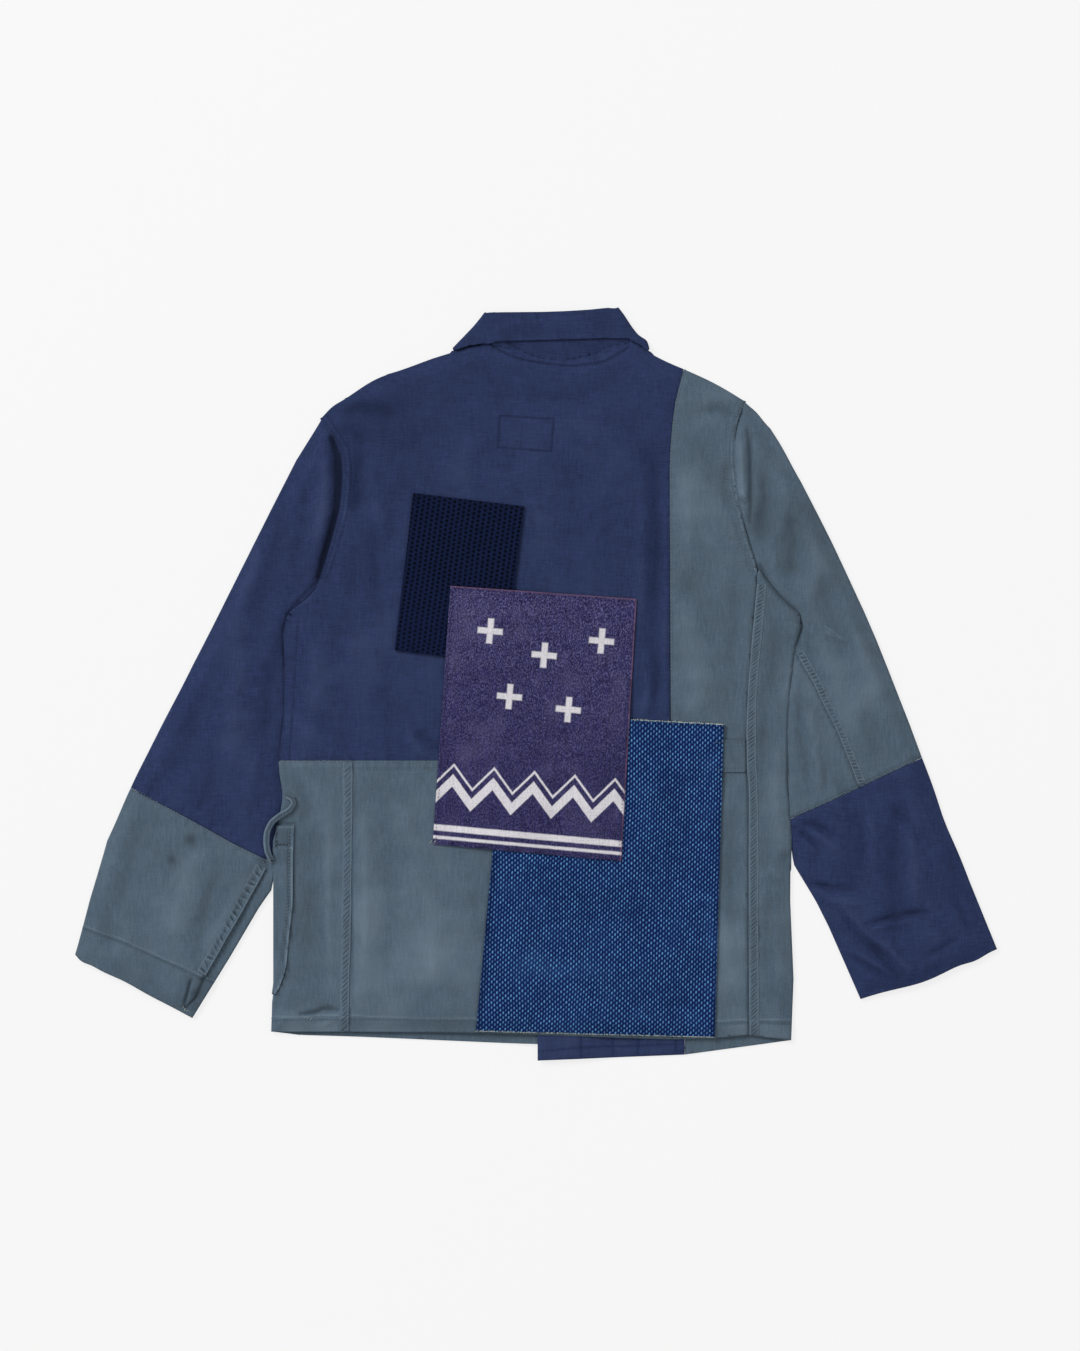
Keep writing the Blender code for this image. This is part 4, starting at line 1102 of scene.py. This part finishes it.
def refine(bm, lines, cell):
    """Halve the cells of the upper side near a list of lines, each with its reach."""
    faces = [f for f in bm.faces if f.normal.z > 0.3]
    middles = np.array([f.calc_center_median()[:2] for f in faces]) / MM
    close = np.zeros(len(faces), bool)
    for path, reach in lines:
        close |= near(middles, path, reach + 2)[0] < reach
    edges = {e for f, c in zip(faces, close) if c for e in f.edges if e.calc_length() > cell * 0.4}
    if edges:
        bmesh.ops.subdivide_edges(bm, edges=list(edges), cuts=1, use_grid_fill=True)


def round_outline(bm, rounds, sharpest):
    """Ease the corners of the cut edges, so that long curves aren't faceted.

    sharpest is the cosine of the largest turn that is eased.
    """
    beside = {}
    for edge in bm.edges:
        if len(edge.link_faces) == 2 and edge.calc_face_angle(0) > CUT_EDGE:
            a, b = edge.verts
            beside.setdefault(a, []).append(b)
            beside.setdefault(b, []).append(a)
    free = []
    for vert, others in beside.items():
        if len(others) == 2:
            u = (others[0].co - vert.co).normalized()
            v = (vert.co - others[1].co).normalized()
            if u.dot(v) > sharpest:
                free.append((vert, others))
    for _ in range(rounds):
        places = [vert.co * 0.5 + (others[0].co + others[1].co) * 0.25 for vert, others in free]
        for (vert, _), place in zip(free, places):
            vert.co = place


def deselect():
    for thing in bpy.context.selected_objects:
        thing.select_set(False)
    bpy.context.view_layer.objects.active = None


def apply_modifier(thing, modifier):
    deselect()
    thing.select_set(True)
    bpy.context.view_layer.objects.active = thing
    bpy.ops.object.modifier_apply(modifier=modifier.name)


def finish_piece(name, mesh, material, slot):
    """An object at the origin for a finished mesh, smooth except at its cut edges."""
    mesh.shade_smooth()
    mesh.set_sharp_from_angle(angle=math.radians(66))
    mesh.materials.clear()
    mesh.materials.append(material)
    piece = bpy.data.objects.new(name, mesh)
    bpy.context.scene.collection.objects.link(piece)
    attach(piece, "root")
    return piece


def remember(name, mesh):
    """Keep a piece's surface, so that stitching can be seated on it."""
    verts = [v.co.copy() for v in mesh.vertices]
    faces = [tuple(p.vertices) for p in mesh.polygons]
    spots = np.array([v[:2] for v in verts])
    surfaces[name] = (BVHTree.FromPolygons(verts, faces), spots.min(0), spots.max(0))


def top_at(x, y, skip=()):
    """Height of the highest cloth at a place, in metres, or None beside the jacket."""
    best = None
    for name, (tree, low, high) in surfaces.items():
        if name in skip or not (low[0] <= x <= high[0] and low[1] <= y <= high[1]):
            continue
        hit = tree.ray_cast(Vector((x, y, 0.1)), Vector((0, 0, -1)))[0]
        if hit and (best is None or hit.z > best):
            best = hit.z
    return best


def point_values(mesh, name, values):
    mesh.attributes.new(name, "FLOAT", "POINT").data.foreach_set("value", values)


def cloth_piece(scene, node, key, kind, fine=(), cell=None, rounds=40, sharpest=0.8):
    """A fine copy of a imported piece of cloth, raised into its folds."""
    sizes = scene.jacket_sizes
    cell = cell or sizes.cell
    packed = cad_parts[node].data
    bm = bmesh.new()
    bm.from_mesh(packed)
    bmesh.ops.remove_doubles(bm, verts=bm.verts, dist=MERGE)
    bmesh.ops.dissolve_limit(bm, angle_limit=math.radians(0.6), verts=bm.verts, edges=bm.edges)
    cut_grid(bm, bm.faces[:], cell)
    round_outline(bm, rounds, sharpest)
    if fine:
        refine(bm, fine, cell)
    bmesh.ops.triangulate(bm, faces=[f for f in bm.faces if len(f.verts) > 4])
    mesh = bpy.data.meshes.new(node + "_cloth")
    bm.to_mesh(mesh)
    bm.free()
    places = np.empty(len(mesh.vertices) * 3)
    mesh.vertices.foreach_get("co", places)
    places = places.reshape(-1, 3) / MM
    levels = places[:, 2].copy()
    plan = places[:, :2].copy()
    fit_together(kind, plan, levels)
    places[:, :2] = nudge(kind, plan)
    places[:, 2] += relief(kind, plan, levels) * sizes.fold_height
    mesh.vertices.foreach_set("co", (places * MM).ravel())
    point_values(mesh, "tone", tones(plan, levels, kind))
    mesh.update()
    slot = packed.materials[0].name.split(".")[0]
    piece = finish_piece(node + "_cloth", mesh, cloth_material(scene, key), slot)
    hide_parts(node)
    remember(node, mesh)
    return piece


def declare(piece, node):
    """Look up a piece's row in the table; its flat cut is read but not stated or kept."""
    _, _, width, length, area, held, _, rests_on = next(r for r in PIECES if r[0] == node)
    width * MM
    length * MM
    list(rests_on)


def build_pieces(scene, start, fine=(), **settings):
    """Make the table's pieces whose names start in one of some ways, and look up their cuts."""
    for node, key, _, _, _, _, kind, _ in PIECES:
        if node.startswith(start):
            declare(cloth_piece(scene, node, key, kind, fine, **settings), node)


def sewn_lines():
    """Every line of sewing, with how far to either side the cloth needs finer cells."""
    lines = [(path, 3 + abs(offset)) for _, path, offset in TOPSTITCHES]
    lines += [(path, 6) for path, _, _ in SEAMS + SLEEVE_SEAMS]
    lines += [(path, 5) for path in (*HEM_LINES, CUFF_LINE)]
    sharp = BODY_FOLDS + LEFT_SLEEVE_FOLDS + RIGHT_SLEEVE_FOLDS + HEM_CREASES
    return lines + [(path, 2.5 * half) for path, half, _ in sharp if half < 4.5]


def edge_distance(piece, corners, sides):
    """Store how far each point of a patch lies from some of its edges, in millimetres."""
    mesh = piece.data
    places = np.array([v.co[:2] for v in mesh.vertices]) / MM
    best = np.full(len(places), 99.0)
    for k in sides:
        best = np.minimum(best, near(places, [corners[k], corners[(k + 1) % 4]])[0])
    point_values(mesh, "fray", best)


# ---------------------------------------------------------------- lines, stitches and threads


def walk(path, step):
    """Places at even steps along a path, each with its direction and distance."""
    path = [Vector(p) for p in path]
    lengths = [(b - a).length for a, b in zip(path, path[1:])]
    count = max(2, round(sum(lengths) / step))
    for i in range(count + 1):
        left = sum(lengths) * i / count
        done = left
        k = 0
        while k < len(lengths) - 1 and left > lengths[k]:
            left -= lengths[k]
            k += 1
        along = (path[k + 1] - path[k]).normalized()
        yield path[k] + along * left, along, done


def eased(path, rounds=2):
    """A path with its corners cut, so that a seam bends and doesn't break."""
    for _ in range(rounds):
        points = [Vector(path[0])]
        for a, b in zip(path, path[1:]):
            a, b = Vector(a), Vector(b)
            points += [a.lerp(b, 0.25), a.lerp(b, 0.75)]
        points.append(Vector(path[-1]))
        path = points
    return path


def left_of(along):
    return Vector((-along.y, along.x))


def face_mesh(name, verts, faces, upward=False):
    """A mesh from its corners and faces, with its normals put right."""
    mesh = bpy.data.meshes.new(name)
    mesh.from_pydata(verts, [], faces)
    bm = bmesh.new()
    bm.from_mesh(mesh)
    bmesh.ops.recalc_face_normals(bm, faces=bm.faces)
    if upward and sum(f.normal.z for f in bm.faces) < 0:
        bmesh.ops.reverse_faces(bm, faces=bm.faces)
    bm.to_mesh(mesh)
    bm.free()
    return mesh


def stitch(verts, faces, place, along, height, length, thick):
    """Add one stitch: a short thread that dives into the cloth at both ends."""
    side = left_of(along) * thick / 2
    half = along * length / 2
    start = len(verts)
    verts.append((*(place - half), height - thick * 0.5))
    for share in (-0.55, 0.55):
        x, y = place + half * share
        verts += [(x + side.x, y + side.y, height), (x, y, height + thick * 0.55),
                  (x - side.x, y - side.y, height), (x, y, height - thick * 0.4)]
    verts.append((*(place + half), height - thick * 0.5))
    for k in range(4):
        n = (k + 1) % 4
        faces.append((start, start + 1 + n, start + 1 + k))
        faces.append((start + 1 + k, start + 1 + n, start + 5 + n, start + 5 + k))
        faces.append((start + 5 + k, start + 5 + n, start + 9))


def strand(verts, faces, points, thick):
    """Add a fine loose thread along some points, three-sided."""
    start = len(verts)
    for k, point in enumerate(points):
        ahead = (points[min(k + 1, len(points) - 1)] - points[max(k - 1, 0)]).normalized()
        side = ahead.cross(Vector((0, 0, 1))).normalized()
        up = side.cross(ahead)
        for angle in (math.radians(90 + 120 * turn) for turn in range(3)):
            verts.append(tuple(point + (side * math.cos(angle) + up * math.sin(angle)) * thick / 2))
    end = start + 3 * (len(points) - 1)
    for a in range(start, end, 3):
        faces += [(a + turn, a + n, a + 3 + n, a + 3 + turn) for turn, n in ((0, 1), (1, 2), (2, 0))]
    faces += [(start, start + 2, start + 1), (end, end + 1, end + 2)]


def thread_piece(scene, name, verts, faces, key, slot):
    return finish_piece(name, face_mesh(name, verts, faces), cloth_material(scene, key), slot)


# ---------------------------------------------------------------- operators


class Step:
    """An operator that makes one part of the scene."""

    def execute(self, context):
        self.make(context.scene)
        return {"FINISHED"}


class JACKET_OT_body(Step, bpy.types.Operator):
    """Make the fronts and the back of the jacket"""
    bl_idname = "jacket.body"
    bl_label = "Fronts and back"

    def make(self, scene):
        build_pieces(scene, ("front_", "back_"), sewn_lines())


class JACKET_OT_sleeves(Step, bpy.types.Operator):
    """Make both sleeves, each an upper and a lower tube of cloth"""
    bl_idname = "jacket.sleeves"
    bl_label = "Sleeves"

    def make(self, scene):
        build_pieces(scene, "sleeve_", sewn_lines())


class JACKET_OT_collar(Step, bpy.types.Operator):
    """Make the collar's stand and fall"""
    bl_idname = "jacket.collar"
    bl_label = "Collar"

    def make(self, scene):
        build_pieces(scene, "collar_", cell=0.0022, rounds=8, sharpest=-0.2)


class JACKET_OT_side_trims(Step, bpy.types.Operator):
    """Make the tool pocket, the hammer loop and the tab at the sides"""
    bl_idname = "jacket.side_trims"
    bl_label = "Pocket, loop and tab"

    def make(self, scene):
        build_pieces(scene, "side_", cell=0.002)
        loop = cloth_piece(scene, "side_loop", "grey", "loop", cell=0.0009)
        loop.name = "side_loop_strap"


class JACKET_OT_patches(Step, bpy.types.Operator):
    """Make the knit, woven and purple patches"""
    bl_idname = "jacket.patches"
    bl_label = "Patches"

    def make(self, scene):
        for key, corners, frayed in (
                ("knit", KNIT, (0, 1, 2, 3)), ("woven", WOVEN, (0, 2)), ("purple", PURPLE, (0, 1))):
            piece = cloth_piece(scene, "patch_" + key, key, "back")
            edge_distance(piece, corners, frayed)
            declare(piece, "patch_" + key)


class JACKET_OT_felled_seams(Step, bpy.types.Operator):
    """Make the felled seams: flat doubled strips, puckered between two rows of stitches"""
    bl_idname = "jacket.felled_seams"
    bl_label = "Felled seams"

    def make(self, scene):
        for number, (name, path, width, fold, puckers) in enumerate(FELLED):
            self.strip(scene, name, eased(path), width, fold, puckers, 40 + number)

    def strip(self, scene, name, path, width, fold, puckers, seed):
        pitch, slant, scatter = puckers
        rng = np.random.default_rng(seed)
        most = 200
        ticks = np.cumsum(rng.uniform(0.75, 1.25, most)) * pitch - 2 * pitch
        leans = slant + rng.uniform(-1, 1, most) * scatter
        depths = rng.uniform(0.4, 1.1, most)
        reaches = rng.uniform(-0.46, -0.2, most)
        across = np.linspace(-0.5, 0.5, 15)
        verts, tone = [], []
        level = TOP_LEVEL
        for place, along, done in walk(path, STRIP_STEP):
            side = left_of(along) * fold
            half = width * (1 + 0.05 * math.sin(done / 21) + 0.03 * math.sin(done / 7.3))
            first = int(np.searchsorted(ticks, done - width))
            close = range(max(0, first - 1), int(np.searchsorted(ticks, done + width)) + 1)
            spots = [place + side * share * half for share in across]
            grounds = [top_at(x * MM, y * MM, skip=(name,)) for x, y in spots]
            level = float(np.median([g for g in grounds if g is not None] or [level]))
            for share, spot, ground in zip(across, spots, grounds):
                if ground is None or ground < level - EDGE_DROP:
                    ground = level
                away = [done - ticks[k] - leans[k] * share * width for k in close]
                tuck = sum(
                    depths[k] * hump(d, 0.11 * pitch + 0.22)
                    * float(smooth(share, reaches[k], reaches[k] + 0.2)) for k, d in zip(close, away))
                ridge = sum(depths[k] * hump(d - 0.32 * pitch, 0.2 * pitch)
                            for k, d in zip(close, away))
                inner = hump(share + 0.05, 0.34, 4)
                rise = 0.12 + 0.55 * float(smooth(share, -0.5, 0.42)) + 0.3 * ridge * inner
                rise -= 0.2 * hump(abs(share) - 0.36, 0.05) + 0.62 * tuck * inner
                rise = 0.2 if share > 0.49 else max(rise, 0.04)
                verts.append((spot.x * MM, spot.y * MM, ground + rise * MM))
                # Pale lines by both edges; painted light on the puckers' ridges, painted shade in their
                # valleys, and a painted shadow along the folded edge
                pale = (0.36 if share > 0 else 0.2) * hump(abs(share) - 0.4, 0.06)
                pale += 0.3 * ridge * inner
                tone.append(max(-1.0, pale - 0.95 * tuck * inner - 0.9 * (share > 0.46)))
        row = len(across)
        faces = [(a + j, a + j + 1, a + j + 1 + row, a + j + row)
                 for a in range(0, len(verts) - row, row) for j in range(row - 1)]
        mesh = face_mesh(name, verts, faces, upward=True)
        point_values(mesh, "tone", tone)
        piece = finish_piece(name, mesh, cloth_material(scene, "grey"), "grey_moleskin")
        wall = piece.modifiers.new("Turned edge", "SOLIDIFY")
        wall.thickness = 0.5 * MM
        wall.offset = -1
        apply_modifier(piece, wall)
        deselect()
        remember(name, piece.data)
        length = sum((b - a).length for a, b in zip(path, path[1:]))
        max(width, 10.5) * MM


class JACKET_OT_topstitching(Step, bpy.types.Operator):
    """Sew the visible rows of stitches"""
    bl_idname = "jacket.topstitching"
    bl_label = "Topstitching"

    def make(self, scene):
        lines = list(TOPSTITCHES)
        for _, path, width, _, _ in FELLED:
            lines += [("grey", path, width * SEAM_ROW), ("grey", path, -width * SEAM_ROW)]
        for colour, slot in (("navy", "navy_drill"), ("grey", "grey_moleskin"),
                             ("purple", "purple_slub"), ("indigo", "indigo_weave"),
                             ("knit", "dark_knit")):
            verts, faces = [], []
            rng = np.random.default_rng(len(colour))
            for key, path, offset in lines:
                if key == colour:
                    self.sew(scene.jacket_sizes, verts, faces, path, offset, rng)
            thread_piece(scene, "topstitching_" + colour, verts, faces, "thread_" + colour, slot)

    def sew(self, sizes, verts, faces, path, offset, rng):
        """Add one row of stitches, curved unless it runs round a rectangle."""
        corners = len(path) == 5 and path[0] == path[-1]
        for place, along, _ in walk(path if corners else eased(path), sizes.stitch_pitch / MM):
            spot = (place + left_of(along) * (offset + rng.normal(0, 0.09))) * MM
            ground = top_at(spot.x, spot.y)
            if ground is not None and ground > LOWEST_SEWN:
                stitch(verts, faces, spot, along, ground, sizes.stitch_length, sizes.thread)


class JACKET_OT_loose_threads(Step, bpy.types.Operator):
    """Fray the cut edges of the patches and leave a few thread ends"""
    bl_idname = "jacket.loose_threads"
    bl_label = "Frayed edges"

    def make(self, scene):
        rng = np.random.default_rng(77)
        cream = ([], [])
        blue = ([], [])
        for a, b in ((WOVEN[0], WOVEN[1]), (WOVEN[2], WOVEN[3])):
            for place, along, _ in walk([a, b], 1.1):
                if a == WOVEN[0] and place.x < UNDER_PURPLE:
                    continue
                ends = cream if rng.random() < 0.6 else blue
                self.fray(rng, ends, place, left_of(along), along, 0.8)
        for x, y, count in THREAD_ENDS:
            for _ in range(count):
                spot = Vector((x + rng.normal(0, 2.0), y + rng.normal(0, 1.4)))
                angle = rng.uniform(0, 2 * math.pi)
                out = Vector((math.cos(angle), math.sin(angle)))
                self.fray(rng, cream, spot, out, Vector((1, 0)), 2.2)
        thread_piece(scene, "frayed_ends_cream", *cream, "thread_cream", "indigo_weave")
        thread_piece(scene, "frayed_ends_blue", *blue, "thread_indigo", "indigo_weave")

    def fray(self, rng, target, place, side, along, reach):
        """Add one thread end that lies out to a side, about as long as reach."""
        start = place - side * 0.8
        lean = rng.normal(0, 0.35)
        length = abs(rng.normal(reach, reach * 0.35)) + 0.4
        points = []
        for share in (0, 0.35, 0.7, 1.0):
            spot = start + (side + along * lean * share) * length * share
            x, y = spot + along * rng.normal(0, 0.12)
            ground = top_at(x * MM, y * MM)
            level = points[-1].z if ground is None and points else (ground or TOP_LEVEL) + 0.0002
            points.append(Vector((x * MM, y * MM, max(level, 0.0004))))
        strand(*target, points, END_THICKNESS)


class JACKET_OT_buttons(Step, bpy.types.Operator):
    """Make the buttons under the front edge"""
    bl_idname = "jacket.buttons"
    bl_label = "Buttons"

    def make(self, scene):
        nodes = sorted(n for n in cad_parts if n.startswith("button_"))
        first = self.model(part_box(nodes[0]))
        for node in nodes:
            piece = bpy.data.objects.new(node + "_four_hole", first.data.copy())
            scene.collection.objects.link(piece)
            move = Vector([(a + b) / 2 for a, b in zip(*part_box(node))])
            for vert in piece.data.vertices:
                vert.co += move
            piece.data.materials.append(cloth_material(scene, "horn"))
            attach(piece, "root")
            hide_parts(node)
        bpy.data.objects.remove(first)

    def model(self, box):
        """One button at the origin: a rim, a dished face and four holes, facing down."""
        low, high = box
        deselect()
        bpy.ops.mesh.primitive_cylinder_add(
            vertices=40, radius=(high[0] - low[0]) / 2, depth=high[2] - low[2])
        button = bpy.context.active_object
        bm = bmesh.new()
        bm.from_mesh(button.data)
        face = min(bm.faces, key=lambda f: f.normal.z)
        bmesh.ops.inset_region(bm, faces=[face], thickness=RIM_WIDTH)
        bmesh.ops.inset_region(bm, faces=[face], thickness=DISH_DEPTH, depth=-DISH_DEPTH)
        bm.to_mesh(button.data)
        bm.free()
        edge = button.modifiers.new("Rounded rim", "BEVEL")
        edge.width = RIM_ROUNDING
        edge.segments = 2
        edge.limit_method = "ANGLE"
        apply_modifier(button, edge)
        for x, y in ((-1, -1), (1, -1), (1, 1), (-1, 1)):
            bpy.ops.mesh.primitive_cylinder_add(
                vertices=14, radius=HOLE_RADIUS, depth=0.01,
                location=(x * HOLE_OFFSET, y * HOLE_OFFSET, 0))
            drill = bpy.context.active_object
            hole = button.modifiers.new("Hole", "BOOLEAN")
            hole.object = drill
            apply_modifier(button, hole)
            bpy.data.objects.remove(drill)
        button.data.shade_smooth()
        button.data.set_sharp_from_angle(angle=math.radians(35))
        deselect()
        return button


class JACKET_OT_stage(Step, bpy.types.Operator):
    """Set up the pale floor, the soft lights and the overhead camera"""
    bl_idname = "jacket.stage"
    bl_label = "Stage"

    def make(self, scene):
        self.floor()
        self.world(scene)
        self.lamp(scene, "Key", (-5.1, 4.3, 5.1), 3.5, 490)
        self.lamp(scene, "Fill", (5.1, -1.6, 6.4), 5.9, 72)
        scene.view_settings.view_transform = "Standard"
        lens = bpy.data.cameras.new("Overhead")
        lens.sensor_fit = "VERTICAL"
        lens.sensor_height = 24
        lens.lens = 24 * CAMERA_PLACE[2] / VIEW_HEIGHT
        lens.clip_end = 50
        scene.camera = bpy.data.objects.new("Overhead", lens)
        scene.camera.location = CAMERA_PLACE
        scene.collection.objects.link(scene.camera)

    def lamp(self, scene, name, place, size, power):
        light = bpy.data.lights.new(name, "AREA")
        light.size = size
        light.energy = power
        lamp = bpy.data.objects.new(name, light)
        scene.collection.objects.link(lamp)
        lamp.location = place
        lamp.rotation_euler = (-Vector(place)).to_track_quat("-Z", "Y").to_euler()

    def floor(self):
        deselect()
        bpy.ops.mesh.primitive_plane_add(size=12, location=(0, 0, FLOOR_LEVEL))
        floor = bpy.context.active_object
        floor.name = "paper_floor"
        material = bpy.data.materials.new("Pale paper floor")
        material.use_nodes = True
        tree = material.node_tree
        tree.nodes.clear()
        paper = wire(tree, "ShaderNodeBsdfDiffuse", {"Color": (0.55, 0.55, 0.55, 1)})
        dim = wire(tree, "ShaderNodeBsdfDiffuse", {"Color": (0.16, 0.16, 0.16, 1)})
        glow = wire(tree, "ShaderNodeEmission", {"Color": PALE, "Strength": 0.84})
        lit = wire(tree, "ShaderNodeAddShader", {0: dim, 1: glow})
        mix = wire(tree, "ShaderNodeMixShader", {0: self.seen(tree), 1: paper, 2: lit})
        add(tree, "ShaderNodeOutputMaterial", {0: mix})
        floor.data.materials.append(material)

    def world(self, scene):
        world = bpy.data.worlds.new("Soft studio")
        scene.world = world
        world.use_nodes = True
        tree = world.node_tree
        tree.nodes.clear()
        soft = wire(tree, "ShaderNodeBackground", {"Color": (1, 1, 1, 1), "Strength": 0.46})
        pale = wire(tree, "ShaderNodeBackground", {"Color": PALE, "Strength": 1.0})
        mix = wire(tree, "ShaderNodeMixShader", {0: self.seen(tree), 1: soft, 2: pale})
        add(tree, "ShaderNodeOutputWorld", {0: mix})

    def seen(self, tree):
        """1 for rays from the camera, and for those in gloss and through glass."""
        rays = add(tree, "ShaderNodeLightPath").outputs
        camera, gloss, through = (
            Wire(tree, rays[f"Is {kind} Ray"]) for kind in ("Camera", "Glossy", "Transmission"))
        return reckon("MAXIMUM", reckon("MAXIMUM", camera, gloss), through)


class JACKET_PT_panel(bpy.types.Panel):
    """Lists the jacket's pieces and settings"""
    bl_label = "Jacket"
    bl_idname = "JACKET_PT_panel"
    bl_space_type = "VIEW_3D"
    bl_region_type = "UI"
    bl_category = "Jacket"

    def draw(self, context):
        for group in (context.scene.jacket_sizes, context.scene.jacket_colours):
            for name in group.__annotations__:
                self.layout.prop(group, name)
        for operator in OPERATORS:
            self.layout.operator(operator.bl_idname)


OPERATORS = (
    JACKET_OT_body, JACKET_OT_sleeves, JACKET_OT_collar, JACKET_OT_side_trims, JACKET_OT_patches,
    JACKET_OT_felled_seams, JACKET_OT_topstitching, JACKET_OT_loose_threads, JACKET_OT_buttons,
    JACKET_OT_stage,
)
CLASSES = (JacketSizes, JacketColours, *OPERATORS, JACKET_PT_panel)


def register():
    for cls in CLASSES:
        bpy.utils.register_class(cls)
    bpy.types.Scene.jacket_sizes = bpy.props.PointerProperty(type=JacketSizes)
    bpy.types.Scene.jacket_colours = bpy.props.PointerProperty(type=JacketColours)


def unregister():
    del bpy.types.Scene.jacket_colours
    del bpy.types.Scene.jacket_sizes
    for cls in reversed(CLASSES):
        bpy.utils.unregister_class(cls)


def main():
    register()
    deselect()
    for operator in OPERATORS:
        group, name = operator.bl_idname.split(".")
        getattr(getattr(bpy.ops, group), name)()


if __name__ == "__main__":
    main()
